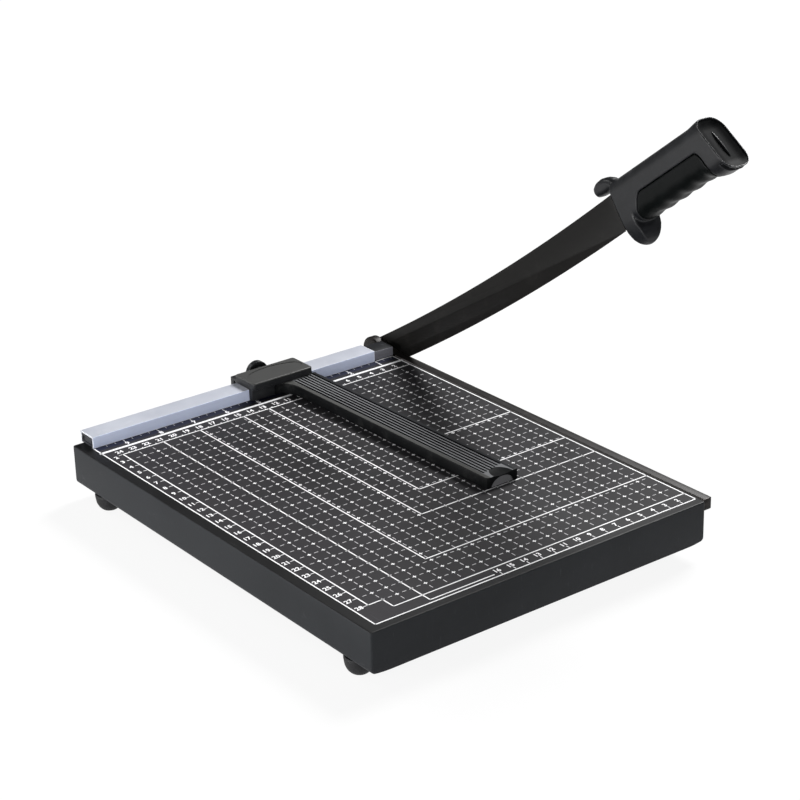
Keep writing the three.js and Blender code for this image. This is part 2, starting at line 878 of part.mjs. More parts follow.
function handleLoft(start, end, inset) {
  const step = wavePitch / waveSteps;
  const stations = [start];
  for (let along = waveFirst - wavePitch / 2; along < end; along += step) {
    if (along > start + step / 2 && along < end - step / 2) {
      stations.push(along);
    }
  }
  stations.push(end);
  return loft(stations.map((along) => handleRing(along, inset)));
}

const toEnd = new THREE.Matrix4()
  .makeTranslation(0, -endMiddle, endHeight)
  .multiply(new THREE.Matrix4().makeRotationX(-endSlant));

// the rounded outline of the handle's end, drawn in all round by an inset
function endOutline(inset) {
  const round = (value) => Math.sign(value) * Math.abs(value) ** (2 / handleRound);
  return outline(Array.from({ length: handleSides }, (_, k) => {
    const turn = 2 * Math.PI * (k + 0.5) / handleSides;
    return [
      handleMiddle + (handleWidth / 2 - inset) * round(Math.cos(turn)),
      (endHalf - inset) * round(Math.sin(turn)),
    ];
  }));
}

// the grip's place seen from the side, grown all round by a gap
function gripRegion(gap) {
  const points = gripAlongShares.map((share, i) => {
    const along = gripStart + (gripEnd - gripStart) * share;
    const height = gripTop - gripRegionDepth * gripDropShares[i];
    return [-along + gap * Math.sign(0.5 - share), height + gap];
  });
  return sideways(outline(points), handleLeftSide - overrun, handleLeftSide + handleWidth + overrun);
}

// the lobe below the blade that keeps the fingers off it, rounded seen from the front
function guardLobe() {
  const side = guardAlongShares.map((share, i) => [-guardLength * share, -guardDepth * guardDepthShares[i]]);
  side.push([-guardLength, 0]);
  const front = [
    [handleLeftSide, 0],
    [handleLeftSide + handleWidth, 0],
  ];
  for (let i = 0; i <= guardFrontSteps; i += 1) {
    const turn = Math.PI * i / guardFrontSteps;
    front.push([
      handleMiddle + handleWidth / 2 * Math.cos(turn),
      -handleBottom / 2 - (guardDepth - handleBottom / 2) * Math.sin(turn),
    ]);
  }
  return common(
    sideways(outline(side), handleLeftSide, handleLeftSide + handleWidth),
    lengthways(outline(front), -guardLength - overrun, overrun),
  );
}

// the horn above the blade's spine, seen from the side
function guardHorn() {
  const points = hornAlongShares.map((share, i) => [
    (share > 0.5 ? -hornRoot : -hornLength) * share,
    hornTop * hornHeightShares[i],
  ]);
  points.push([0, handleTop / 2], [-hornRoot, handleTop / 2]);
  return sideways(outline(points), hornLeft, hornLeft + hornWidth);
}

function handleBody() {
  const endSide = block(
    [-overrun, -handleReach, -handleReach],
    [handleWidth + overrun, 0, handleReach],
  ).applyMatrix4(toEnd);
  const pocket = lengthways(endOutline(capRim), -overrun, capPocket).applyMatrix4(toEnd);
  const core = handleLoft(gripCoreStart, gripCoreEnd, gripThickness + seatGap);
  const outer = cut(join(handleLoft(0, handleReach, 0), guardLobe(), guardHorn()), gripRegion(seatGap));
  const seat = handleLeftSide + handleWidth - handleScrewHeadDepth - screwHeadHeight;
  const screwHoles = handleScrewPlaces.flatMap((along) => [
    rod(
      'x',
      handleScrewEnd - seatGap,
      handleWidth,
      screwRadius + seatGap,
      [0, -along, handleScrewHeight],
      screwSides,
    ),
    rod(
      'x',
      seat,
      handleWidth + overrun,
      screwHeadRadius + seatGap,
      [0, -along, handleScrewHeight],
      screwSides,
    ),
  ]);
  return cut(join(outer, core), endSide, pocket, tangBody(seatGap), ...screwHoles);
}

// the grip: a soft shell round the handle's underside with a wave for each finger
function handleGrip() {
  const skin = common(handleLoft(0, handleReach, 0), gripRegion(0));
  return cut(skin, handleLoft(gripCoreStart - overrun, gripCoreEnd + overrun, gripThickness));
}

function handleEndCap() {
  const disc = lengthways(endOutline(capRim + seatGap), capRecess, capPocket - seatGap);
  const half = endHalf * capRidgeShare;
  const ridge = block(
    [handleMiddle - capRidgeWidth / 2, capRecess - capRidgeHeight, -half],
    [handleMiddle + capRidgeWidth / 2, capRecess + capRidgeHeight, half],
  );
  return join(disc.applyMatrix4(toEnd), ridge.applyMatrix4(toEnd));
}

function handleScrew(along) {
  const seat = handleLeftSide + handleWidth - handleScrewHeadDepth - screwHeadHeight;
  const place = [0, -along, handleScrewHeight];
  return join(
    rod('x', seat + fitGap, seat + screwHeadHeight, screwHeadRadius, place, screwSides),
    rod('x', handleScrewEnd, seat + screwHeadHeight / 2, screwRadius, place, screwSides),
  );
}

const screwColor = 0x77787a;
const numbered = (name, places, make) => places.map(
  (place, i) => piece(`${name}_${i + 1}`, make(place), screwColor, 0.35, 0.9),
);

const base = new THREE.Group();
base.add(
  piece('base_tray', baseTray(), 0x343437, 0.42, 0.1),
  piece('fixed_blade', fixedBlade(), 0x3a3230, 0.35, 0.9),
  ...numbered('fixed_blade_screw', stripScrewPlaces, stripScrew),
  ...Object.entries(footPlaces).map(([name, place]) => piece(name, rubberFoot(place), 0x151516, 0.8, 0)),
  piece('fence_bar', fenceBar(), 0x3d3f44, 0.5, 0.1),
  piece('fence_cover', fenceCover(), 0xc8ccd8, 0.4, 0.1),
  piece('fence_end_plug', fenceEndPlug(), 0x17181a, 0.5, 0),
  ...numbered('fence_screw', fenceScrewPlaces, fenceScrew),
  piece('pivot_bolt', pivotBolt(), 0x2c2c2d, 0.35, 0.9),
  piece('pivot_washer_inner', pivotWasher(firstWasher), 0x6f7072, 0.35, 0.9),
  piece('pivot_spring_washer_inner', springWasher(firstDome + domeHeight, firstDome), 0x5d5e60, 0.35, 0.9),
  piece('pivot_spring_washer_outer', springWasher(secondDome, secondDome + domeHeight), 0x5d5e60, 0.35, 0.9),
  piece('pivot_washer_outer', pivotWasher(secondWasher), 0x6f7072, 0.35, 0.9),
  piece('pivot_lock_nut', pivotLockNut(), 0x6f7072, 0.35, 0.9),
);

const guide = new THREE.Group();
guide.add(
  piece('guide_head', guideHead(), 0x1d1f21, 0.45, 0),
  piece('guide_arm', guideArm(), 0x2b2c2d, 0.45, 0),
  ...numbered('guide_screw', guideScrewPlaces, guideScrew),
  piece('clamp_insert', clampInsert(), 0xb08d4a, 0.35, 0.9),
  piece('clamp_shoe', clampShoe(), 0x1d1f21, 0.5, 0),
  piece('clamp_screw', clampScrew(), 0x77787a, 0.35, 0.9),
  piece('clamp_knob', clampKnob(), 0x1b1c1e, 0.45, 0),
);

const handle = new THREE.Group();
handle.applyMatrix4(toHandle);
handle.add(
  piece('handle_body', handleBody(), 0x2b2d30, 0.4, 0),
  piece('handle_grip', handleGrip(), 0x101414, 0.3, 0),
  piece('handle_end_cap', handleEndCap(), 0x1b1c1d, 0.4, 0),
  ...numbered('handle_screw', handleScrewPlaces, handleScrew),
);

const blade = new THREE.Group();
blade.position.set(...pivotPlace);
blade.rotation.x = -openAngle;
blade.add(piece('moving_blade', movingBlade(), 0x272625, 0.35, 0.8), handle);

const cutter = new THREE.Group();
cutter.add(base, guide, blade);

// the origin is under the middle of the whole, on the surface it stands on
cutter.updateMatrixWorld(true);
const reach = new THREE.Box3().setFromObject(cutter, true);
const middle = reach.getCenter(new THREE.Vector3());
cutter.position.set(-middle.x, -middle.y, -reach.min.z);
cutter.updateMatrixWorld(true);

export default cutter;
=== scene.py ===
import math

import bmesh
import bpy
from mathutils import Matrix, Vector


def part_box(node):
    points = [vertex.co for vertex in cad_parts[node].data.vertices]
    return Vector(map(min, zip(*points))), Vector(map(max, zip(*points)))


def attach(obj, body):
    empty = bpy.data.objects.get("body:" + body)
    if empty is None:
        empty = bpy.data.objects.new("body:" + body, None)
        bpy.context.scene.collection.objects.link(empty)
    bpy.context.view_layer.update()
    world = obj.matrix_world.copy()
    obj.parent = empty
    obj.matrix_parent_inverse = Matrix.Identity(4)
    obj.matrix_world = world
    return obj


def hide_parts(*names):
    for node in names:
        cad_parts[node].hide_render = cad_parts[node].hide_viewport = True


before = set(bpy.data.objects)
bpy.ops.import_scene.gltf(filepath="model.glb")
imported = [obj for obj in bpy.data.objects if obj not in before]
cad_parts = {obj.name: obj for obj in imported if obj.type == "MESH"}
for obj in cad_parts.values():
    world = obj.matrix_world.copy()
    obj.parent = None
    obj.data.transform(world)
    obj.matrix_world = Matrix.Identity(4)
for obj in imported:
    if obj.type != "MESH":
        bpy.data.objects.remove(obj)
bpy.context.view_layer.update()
mm = 0.001

# what the pieces share, in millimetres and degrees; the guard is where the handle starts on the blade
layout = {
    "fenceFromRear": 13.2, "pivotY": 27.5, "pivotZ": -9.3, "openAngle": 30.92,
    "guardAlong": 296, "guardUp": 16.5, "guardTilt": 5.7}
near = 0.1  # how close to its place an edge or a face is looked for
touching = 0.01

# zero is where the cutting plane, the fence line and the tray's top meet, and places below are
# millimetres from it
stripCorner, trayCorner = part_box("fixed_blade")[1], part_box("base_tray")[1]
zero = Vector((stripCorner.x, trayCorner.y - layout["fenceFromRear"] * mm, trayCorner.z))
pivot = Vector((0, layout["pivotY"], layout["pivotZ"])) * mm
onBlade = Matrix.Translation(zero + pivot) @ Matrix.Rotation(math.radians(-layout["openAngle"]), 4, "X")
onHandle = (onBlade @ Matrix.Translation((0, -layout["guardAlong"] * mm, layout["guardUp"] * mm))
            @ Matrix.Rotation(math.radians(-layout["guardTilt"]), 4, "X"))


def spot(x, y, z):
    return zero + Vector((x, y, z)) * mm


# modelling with the usual tools

def pickNone():
    if bpy.context.object and bpy.context.object.mode != "OBJECT":
        bpy.ops.object.mode_set(mode="OBJECT")
    bpy.ops.object.select_all(action="DESELECT")


def pickOnly(piece):
    pickNone()
    piece.select_set(True)
    bpy.context.view_layer.objects.active = piece


def edit(piece):
    pickOnly(piece)
    bpy.ops.object.mode_set(mode="EDIT")


def done():
    bpy.ops.object.mode_set(mode="OBJECT")


def faceOutwards():
    bpy.ops.mesh.select_all(action="SELECT")
    bpy.ops.mesh.normals_make_consistent(inside=False)


def bevel(width, steps):
    bpy.ops.mesh.bevel(offset=width * mm, segments=steps)


def inset(width, depth=0.0):
    bpy.ops.mesh.inset(thickness=width * mm, depth=depth * mm)


def pull(x, y, z):
    bpy.ops.mesh.extrude_region_move(TRANSFORM_OT_translate={"value": (x * mm, y * mm, z * mm)})


def settle(name):
    piece = bpy.context.object
    piece.name = name
    piece.data.name = name
    bpy.ops.object.transform_apply(location=True, rotation=True, scale=True)
    return piece


def addBox(name, low, high):
    pickNone()
    low, high = spot(*low), spot(*high)
    bpy.ops.mesh.primitive_cube_add(size=1, location=(low + high) / 2, scale=high - low)
    return settle(name)


def addRod(name, axis, start, end, radius, at, sides=32):
    pickNone()
    turn = {"x": (0, math.pi / 2, 0), "y": (math.pi / 2, 0, 0), "z": (0, 0, 0)}[axis]
    middle = list(at)
    middle["xyz".index(axis)] = (start + end) / 2
    bpy.ops.mesh.primitive_cylinder_add(
        vertices=sides, radius=radius * mm, depth=(end - start) * mm, location=spot(*middle), rotation=turn)
    return settle(name)


def addOutline(name, points, axis, low, high, soften=0.0, steps=2, local=False):
    pickNone()
    line = bpy.data.curves.new(name, "CURVE")
    line.dimensions = "2D"
    line.fill_mode = "BOTH"
    path = line.splines.new("POLY")
    path.points.add(len(points) - 1)
    for point, (a, b) in zip(path.points, points):
        point.co = (a * mm, b * mm, 0, 1)
    path.use_cyclic_u = True
    line.extrude = ((high - low) / 2 - soften) * mm
    line.bevel_depth = soften * mm
    line.bevel_resolution = steps
    line.offset = -soften * mm
    piece = bpy.data.objects.new(name, line)
    bpy.context.scene.collection.objects.link(piece)
    pickOnly(piece)
    bpy.ops.object.convert(target="MESH")
    basis = {
        "x": Matrix(((0, 0, 1, 0), (1, 0, 0, 0), (0, 1, 0, 0), (0, 0, 0, 1))),
        "y": Matrix(((1, 0, 0, 0), (0, 0, 1, 0), (0, 1, 0, 0), (0, 0, 0, 1))),
        "z": Matrix.Identity(4),
    }[axis]
    shift = Vector((0, 0, 0))
    shift["xyz".index(axis)] = (low + high) / 2 * mm
    bpy.context.object.matrix_world = Matrix.Translation(shift if local else zero + shift) @ basis
    piece = settle(name)
    mend(piece)
    return piece


def mend(piece):
    edit(piece)
    bpy.ops.mesh.select_all(action="SELECT")
    bpy.ops.mesh.remove_doubles(threshold=touching * mm)
    faceOutwards()
    done()


def choose(kind, test):
    bpy.ops.mesh.select_mode(type=kind)
    bpy.ops.mesh.select_all(action="DESELECT")
    shape = bmesh.from_edit_mesh(bpy.context.object.data)
    for part in shape.edges if kind == "EDGE" else shape.faces:
        if kind == "EDGE":
            centre = (part.verts[0].co + part.verts[1].co) / 2
        else:
            centre = part.calc_center_median()
        part.select_set(bool(test(part, (centre - zero) / mm)))
    shape.select_flush_mode()
    bmesh.update_edit_mesh(bpy.context.object.data)


def lies(edge, axis):
    a, b = edge.verts[0].co, edge.verts[1].co
    step = b - a
    along = abs(step["xyz".index(axis)])
    off = max(abs(step["xyz".index(other)]) for other in "xyz" if other != axis)
    return along > 1e-6 and off < 1e-6


def apply(piece, kind, **settings):
    tool = piece.modifiers.new(kind.lower(), kind)
    for key, value in settings.items():
        setattr(tool, key, value)
    pickOnly(piece)
    bpy.ops.object.modifier_apply(modifier=tool.name)


def combine(piece, operation, *others):
    for other in others:
        apply(piece, "BOOLEAN", operation=operation, object=other, solver="EXACT")
        bpy.data.objects.remove(other)
    return piece


def roundEdges(piece, width, steps=2, angle=35):
    apply(piece, "BEVEL", width=width * mm, segments=steps, limit_method="ANGLE",
          angle_limit=math.radians(angle), harden_normals=False, use_clamp_overlap=True)


def smooth(piece, angle=35):
    pickOnly(piece)
    bpy.ops.object.shade_smooth_by_angle(angle=math.radians(angle))


def place(piece, matrix):
    pickOnly(piece)
    piece.matrix_world = matrix
    bpy.ops.object.transform_apply(location=True, rotation=True, scale=True)


def finishPiece(piece, material, body, slot, *nodes, angle=35):
    smooth(piece, angle)
    piece.data.materials.clear()
    piece.data.materials.append(material)
    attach(piece, body)
    if nodes:
        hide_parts(*nodes)


# points of an arc of a circle or an ellipse, its angles in degrees
def arc(x, y, wide, high, start, end, steps):
    points = []
    for i in range(steps + 1):
        turn = math.radians(start + (end - start) * i / steps)
        points.append((x + wide * math.cos(turn), y + high * math.sin(turn)))
    return points


def roundedRectangle(left, front, right, rear, radius, steps=5):
    points = []
    for x, y, start in (
            (right - radius, front + radius, -90), (right - radius, rear - radius, 0),
            (left + radius, rear - radius, 90), (left + radius, front + radius, 180)):
        points += arc(x, y, radius, radius, start, start + 90, steps)
    return points


# shader maths

class Wire:
    def __init__(self, finish, socket):
        self.finish = finish
        self.socket = socket

    def maths(self, operation, *values):
        return self.finish.make("ShaderNodeMath", {"operation": operation}, dict(enumerate(values)))

    def __add__(self, other):
        return self.maths("ADD", self, other)

    def __sub__(self, other):
        return self.maths("SUBTRACT", self, other)

    def __rsub__(self, other):
        return self.maths("SUBTRACT", other, self)

    def __mul__(self, other):
        return self.maths("MULTIPLY", self, other)

    __radd__ = __add__
    __rmul__ = __mul__

    def above(self, other):
        return self.maths("GREATER_THAN", self, other)

    def below(self, other):
        return self.maths("LESS_THAN", self, other)


class Finish:
    def __init__(self, name, rough, metal=0.0, specular=0.5):
        self.material = bpy.data.materials.new(name)
        self.material.use_nodes = True
        self.nodes = self.material.node_tree.nodes
        self.links = self.material.node_tree.links
        self.nodes.clear()
        self.output = self.nodes.new("ShaderNodeOutputMaterial")
        self.shader = self.nodes.new("ShaderNodeBsdfPrincipled")
        self.links.new(self.shader.outputs[0], self.output.inputs[0])
        self.shader.inputs["Roughness"].default_value = rough
        self.shader.inputs["Metallic"].default_value = metal
        self.shader.inputs["Specular IOR Level"].default_value = specular

    def make(self, kind, settings, values, output=0):
        node = self.nodes.new(kind)
        for key, value in settings.items():
            setattr(node, key, value)
        for key, value in values.items():
            self.feed(node.inputs[key], value)
        return Wire(self, node.outputs[output])

    def feed(self, socket, value):
        if isinstance(value, Wire):
            self.links.new(value.socket, socket)
        elif isinstance(value, tuple) and len(value) == 3 and socket.type == "RGBA":
            socket.default_value = (*value, 1)
        else:
            socket.default_value = value

    def where(self):
        return self.make("ShaderNodeTexCoord", {}, {}, "Object")

    def parts(self, vector):
        node = self.nodes.new("ShaderNodeSeparateXYZ")
        self.links.new(vector.socket, node.inputs[0])
        return [Wire(self, out) for out in node.outputs]

    def along(self, vector, direction):
        dot = {"operation": "DOT_PRODUCT"}
        return self.make("ShaderNodeVectorMath", dot, {0: vector, 1: direction}, "Value")

    def stretched(self, vector, x, y, z):
        return self.make("ShaderNodeMapping", {}, {"Vector": vector, "Scale": (x, y, z)})

    def noise(self, vector, scale, detail=3.0, rough=0.55):
        return self.make("ShaderNodeTexNoise", {}, {
            "Vector": vector, "Scale": scale, "Detail": detail, "Roughness": rough})

    def spread(self, value, low, high, newLow=0.0, newHigh=1.0):
        return self.make("ShaderNodeMapRange", {"clamp": True}, {
            "Value": value, "From Min": low, "From Max": high, "To Min": newLow, "To Max": newHigh})

    def blend(self, share, first, second):
        node = self.nodes.new("ShaderNodeMix")
        node.data_type = "RGBA"
        self.feed(node.inputs[0], share)
        self.feed(node.inputs[6], first)
        self.feed(node.inputs[7], second)
        return Wire(self, node.outputs[2])

    def edges(self, radius):  # 1 at a sharp edge, where a softened normal leaves the true one
        soft = self.make("ShaderNodeBevel", {"samples": 4}, {"Radius": radius * mm})
        hard = self.make("ShaderNodeNewGeometry", {}, {}, "Normal")
        return self.spread(self.along(soft, hard), 0.995, 0.85)

    def bump(self, height, depth):
        return self.make("ShaderNodeBump", {}, {"Height": height, "Distance": depth * mm})

    def out(self, **values):
        for key, value in values.items():
            self.feed(self.shader.inputs[key.replace("_", " ")], value)
        return self.material


# a screen colour as linear light
def shade(hexColour):
    parts = [int(hexColour[i:i + 2], 16) / 255 for i in (0, 2, 4)]
    return tuple(c / 12.92 if c <= 0.04045 else ((c + 0.055) / 1.055) ** 2.4 for c in parts)


# dark and light are screen colours, and so is the colour that scuffs and edges lighten to; patch and grain
# are scales of noise, and along stretches the grain; depth is the bump's height and edge the width of a
# lighter edge, partly worn paint and partly a painted highlight; faces are patches of another colour, used
# as painted light
usualLook = {
    "rough": 0.42, "metal": 0.0, "specular": 0.5, "sway": 0.12, "patch": 50, "grain": 1800, "depth": 0.02,
    "edge": 0.5, "scuff": 0.15, "edgeWearAndHighlight": 0.5, "even": 0.0, "faces": []}


def moulded(name, changes):
    look = {**usualLook, **changes}
    finish = Finish(name, look["rough"], look["metal"], look["specular"])
    where = finish.where()
    broad = finish.noise(where, look["patch"], detail=4.0)
    grainPlace = finish.stretched(where, *look["along"]) if "along" in look else where
    grain = finish.noise(grainPlace, look["grain"], detail=2.0)
    rubbed = finish.noise(where, look["patch"] * 2.3, detail=6.0, rough=0.7)
    scuff = finish.spread(rubbed, low=0.55, high=0.72)
    broken = finish.noise(where, look["patch"] * 6)
    # edges lighten, partly as wear and partly as a painted highlight
    wornAndLitEdges = finish.edges(look["edge"]) * finish.spread(broken, low=0.35, high=0.65, newLow=look["even"])
    mottled = finish.spread(broad, low=0.3, high=0.7)
    colour = finish.blend(mottled, shade(look["dark"]), shade(look["light"]))
    # patches of painted light: faces painted lighter where light falls on them, and painted highlights
    for limits, paintedLight in look["faces"]:
        region = finish.spread(grain, low=0.25, high=0.75, newLow=0.8)
        for direction, limit in limits:
            region = region * finish.along(where, direction).below(limit)
        colour = finish.blend(region, colour, shade(paintedLight))
    colour = finish.blend(scuff * look["scuff"], colour, shade(look["rubAndHighlight"]))
    colour = finish.blend(wornAndLitEdges * look["edgeWearAndHighlight"], colour, shade(look["rubAndHighlight"]))
    rough = (broad - 0.5) * look["sway"] + look["rough"] + scuff * (look["scuff"] * 0.2) - wornAndLitEdges * 0.05
    normal = finish.bump(grain + broad * 0.15, look["depth"])
    return finish.out(Base_Color=colour, Roughness=rough, Normal=normal)


# limits of a patch, each a direction and how far along it the patch reaches
def leftOf(x):
    return (1, 0, 0), spot(x, 0, 0).x


def frontOf(y):
    return (0, 1, 0), spot(0, y, 0).y


def below(z):
    return (0, 0, 1), spot(0, 0, z).z


def opposite(direction, limit):
    return tuple(-part for part in direction), -limit


finishes = {
    "stripSteel": {
        "dark": "100e0d", "light": "191614", "rubAndHighlight": "7a736f", "metal": 0.2, "specular": 0.15, "patch": 60,
        "grain": 900, "along": (1, 0.05, 1), "scuff": 0.1, "edgeWearAndHighlight": 0.7,
        # the chamfer painted light grey, as bare ground metal and as a painted highlight
        "faces": [([leftOf(-6.3), opposite(*below(-1.3)), frontOf(0)], "625f5d")]},
    "bladePaint": {
        "dark": "0f0e0d", "light": "131211", "rubAndHighlight": "4a4744", "rough": 0.5, "sway": 0.08, "specular": 0.1,
        "patch": 25, "grain": 1400, "depth": 0.012, "edge": 0.4, "scuff": 0.08, "edgeWearAndHighlight": 0.6},
    "zincSteel": {
        "dark": "6a6b6d", "light": "8d8e90", "rubAndHighlight": "b0b0b0", "rough": 0.3, "metal": 1.0, "sway": 0.15,
        "patch": 120, "grain": 2500, "depth": 0.01, "edge": 0.3, "scuff": 0.2},
    "blackSteel": {
        "dark": "1a1a1b", "light": "262627", "rubAndHighlight": "5a5a5a", "rough": 0.35, "metal": 0.8,
        "patch": 120, "grain": 2200, "depth": 0.012, "edge": 0.3, "edgeWearAndHighlight": 0.6},
    "brass": {
        "dark": "8a6a2c", "light": "b08d4a", "rubAndHighlight": "d9bc7a", "rough": 0.3, "metal": 1.0,
        "patch": 150, "grain": 2500, "depth": 0.01, "edge": 0.3, "scuff": 0.2, "edgeWearAndHighlight": 0.4},
    "footRubber": {
        "dark": "161617", "light": "212123", "rubAndHighlight": "3c3c3d", "rough": 0.65, "sway": 0.15, "specular": 0.25,
        "patch": 90, "grain": 1500, "depth": 0.05, "edge": 0.6, "scuff": 0.3, "edgeWearAndHighlight": 0.4},
    # near-white along every edge, a painted highlight, and the front face painted lighter and bluer than the
    # top, painted light
    "coverPlastic": {
        "dark": "a6a9b3", "light": "b3b6bf", "rubAndHighlight": "fdfdfe", "sway": 0.1, "specular": 0.4,
        "patch": 30, "grain": 1600, "along": (0.06, 1, 1), "depth": 0.012, "scuff": 0.08,
        "edgeWearAndHighlight": 1.0, "even": 0.8, "faces": [([frontOf(0.15)], "ccd5ee")]},
    # the front face painted light grey against the dark top, as a lit side and a shaded top
    "barPlastic": {
        "dark": "101114", "light": "191a1e", "rubAndHighlight": "6a6c74", "rough": 0.45, "sway": 0.1, "specular": 0.15,
        "patch": 60, "grain": 1500, "edge": 0.4, "edgeWearAndHighlight": 0.4, "faces": [([frontOf(1.2)], "77777e")]},
    "plugPlastic": {
        "dark": "1b1c20", "light": "26272c", "rubAndHighlight": "55575e", "rough": 0.45, "sway": 0.1, "specular": 0.3,
        "patch": 60, "grain": 1500, "edge": 0.4, "edgeWearAndHighlight": 0.4},
    # the top painted lighter grey than the sides and front, painted light
    "headPlastic": {
        "dark": "1a1b1d", "light": "232426", "rubAndHighlight": "565654", "specular": 0.25, "edgeWearAndHighlight": 0.6,
        "faces": [([opposite(*below(12.7))], "424241")]},
    "guidePlastic": {
        "dark": "121314", "light": "1b1c1e", "rubAndHighlight": "3c3d3f", "rough": 0.4, "specular": 0.25},
    "handlePlastic": {
        "dark": "0e0f11", "light": "16171a", "rubAndHighlight": "424347", "rough": 0.38, "specular": 0.25,
        "patch": 45, "grain": 2000, "edge": 0.6, "scuff": 0.12, "edgeWearAndHighlight": 0.6},
    "capPlastic": {
        "dark": "08090a", "light": "0d0e0f", "rubAndHighlight": "3a3b3c", "rough": 0.55, "specular": 0.03,
        "patch": 45, "grain": 2000, "edge": 0.6, "scuff": 0.12},
    "gripPlastic": {
        "dark": "040606", "light": "080a0a", "rubAndHighlight": "2a2f2f", "rough": 0.4, "sway": 0.08, "specular": 0.07,
        "patch": 45, "grain": 2000, "depth": 0.01, "scuff": 0.08, "edgeWearAndHighlight": 0.4},
    "printGrey": {
        "dark": "b4b3b5", "light": "d6d5d7", "rubAndHighlight": "6a696b", "rough": 0.5, "sway": 0.05,
        "patch": 80, "grain": 2500, "depth": 0.005, "edge": 0.05, "scuff": 0.4, "edgeWearAndHighlight": 0.0},
    "printWhite": {
        "dark": "e0dfe1", "light": "fafafa", "rubAndHighlight": "9d9c9e", "rough": 0.5, "sway": 0.05,
        "patch": 80, "grain": 2500, "depth": 0.005, "edge": 0.05, "scuff": 0.3, "edgeWearAndHighlight": 0.0},
}
materials = {name: moulded(name, look) for name, look in finishes.items()}


# the tray and its print

traySizes = {
    "left": -256.9, "right": -7.3, "front": -306.5, "rear": layout["fenceFromRear"], "height": 26.4,
    "sheet": 1.2, "corner": 1.5, "bend": 3.0, "fold": 0.8, "flange": 18.0}
trayLook = {
    # the bed is painted lighter towards its left edge, a painted sheen
    "bedLow": (-249, -300, -0.3), "bedHigh": (-9.2, 0, 0), "leftSheenLength": 90, "fenceShadowFront": -5.5,
    "rough": 0.5, "specular": 0.16, "skirtDark": "15171a", "skirtLight": "1d1f22",
    "borderDark": "0b0b0c", "borderLight": "121213", "bedDark": "1a191b", "bedLight": "262527",
    # the bed is painted dark navy in front of the fence, a painted shadow of the fence tinted as a painted
    # reflection of its cover
    "bedLeftSheen": "2f2d30", "fenceShadow": "10142a", "rubAndHighlight": "707174",
    "patch": 22, "peel": 700, "grain": 2600, "scratch": 90, "chip": 160, "edge": 0.9, "depth": 0.03,
    "scuff": 0.15, "edgeWearAndHighlight": 0.5, "sway": 0.12}


def trayFinish(look):
    finish = Finish("trayPaint", look["rough"], 0.0, look["specular"])
    where = finish.where()
    x, y, z = finish.parts(where)
    low, high = spot(*look["bedLow"]), spot(*look["bedHigh"])
    onTop = z.above(low.z)
    inside = x.above(low.x) * x.below(high.x) * y.above(low.y) * y.below(high.y) * onTop
    broad = finish.noise(where, look["patch"], detail=5.0)
    peel = finish.noise(where, look["peel"], detail=2.0)
    fine = finish.noise(where, look["grain"], detail=2.0)
    thin = finish.noise(finish.stretched(where, 8, 0.35, 1), look["scratch"], detail=6.0, rough=0.7)
    scratches = finish.spread(thin, low=0.62, high=0.74)
    broken = finish.noise(where, look["chip"])
    # edges lighten, partly as worn paint and partly as a painted highlight
    wornAndLitEdges = finish.edges(look["edge"]) * finish.spread(broken, low=0.3, high=0.7)
    patches = finish.spread(broad, low=0.3, high=0.7)
    skirt = finish.blend(patches, shade(look["skirtDark"]), shade(look["skirtLight"]))
    border = finish.blend(patches, shade(look["borderDark"]), shade(look["borderLight"]))
    bed = finish.blend(patches, shade(look["bedDark"]), shade(look["bedLight"]))
    # painted sheen: the bed lighter towards its left edge
    leftSheen = finish.spread(x, low.x, low.x + look["leftSheenLength"] * mm, 0.8, 0.0)
    bed = finish.blend(leftSheen, bed, shade(look["bedLeftSheen"]))
    # painted shadow of the fence on the bed in front of it, tinted bluish as a painted reflection of the
    # cover
    bed = finish.blend(y.above(spot(0, look["fenceShadowFront"], 0).y), bed, shade(look["fenceShadow"]))
    colour = finish.blend(onTop, skirt, border)
    colour = finish.blend(inside, colour, bed)
    colour = finish.blend(scratches * look["scuff"], colour, shade(look["rubAndHighlight"]))
    colour = finish.blend(wornAndLitEdges * look["edgeWearAndHighlight"], colour, shade(look["rubAndHighlight"]))
    rough = (broad - 0.5) * look["sway"] + look["rough"] + inside * 0.04 + scratches * 0.05
    normal = finish.bump(peel + fine * 0.25, look["depth"])
    return finish.out(Base_Color=colour, Roughness=rough, Normal=normal)


def makeTray(size):
    bottom = -size["height"]
    tray = addBox("tray", (size["left"], size["front"], bottom), (size["right"], size["rear"], 0))
    edit(tray)
    choose("EDGE", lambda edge, at: lies(edge, "y") and at.z < bottom + near)
    bevel(size["bend"], 6)
    ends = [zero.y + size["front"] * mm, zero.y + size["rear"] * mm]
    choose("EDGE", lambda edge, at: not lies(edge, "x") and any(
        all(abs(vert.co.y - end) < touching * mm for vert in edge.verts) for end in ends))
    bevel(size["corner"], 5)
    choose("FACE", lambda face, at: face.normal.z < -0.99 and abs(at.z - bottom) < touching)
    bpy.ops.mesh.delete(type="FACE")
    choose("EDGE", lambda edge, at: all(abs(vert.co.z - zero.z) < 1e-6 for vert in edge.verts))
    bevel(size["fold"], 4)
    for wall, step in ((size["left"] + size["bend"], 1), (size["right"] - size["bend"], -1)):
        choose("EDGE", lambda edge, at: (
            lies(edge, "y") and at.z < bottom + near and abs(at.x - wall) < near))
        pull(step * (size["flange"] - size["bend"]), 0, 0)
    faceOutwards()
    done()
    apply(tray, "SOLIDIFY", thickness=size["sheet"] * mm, offset=-1, use_even_offset=True)
    finishPiece(tray, materials["trayPaint"], "base", "tray_paint", "base_tray")


print("tray")
materials["trayPaint"] = trayFinish(trayLook)
makeTray(traySizes)

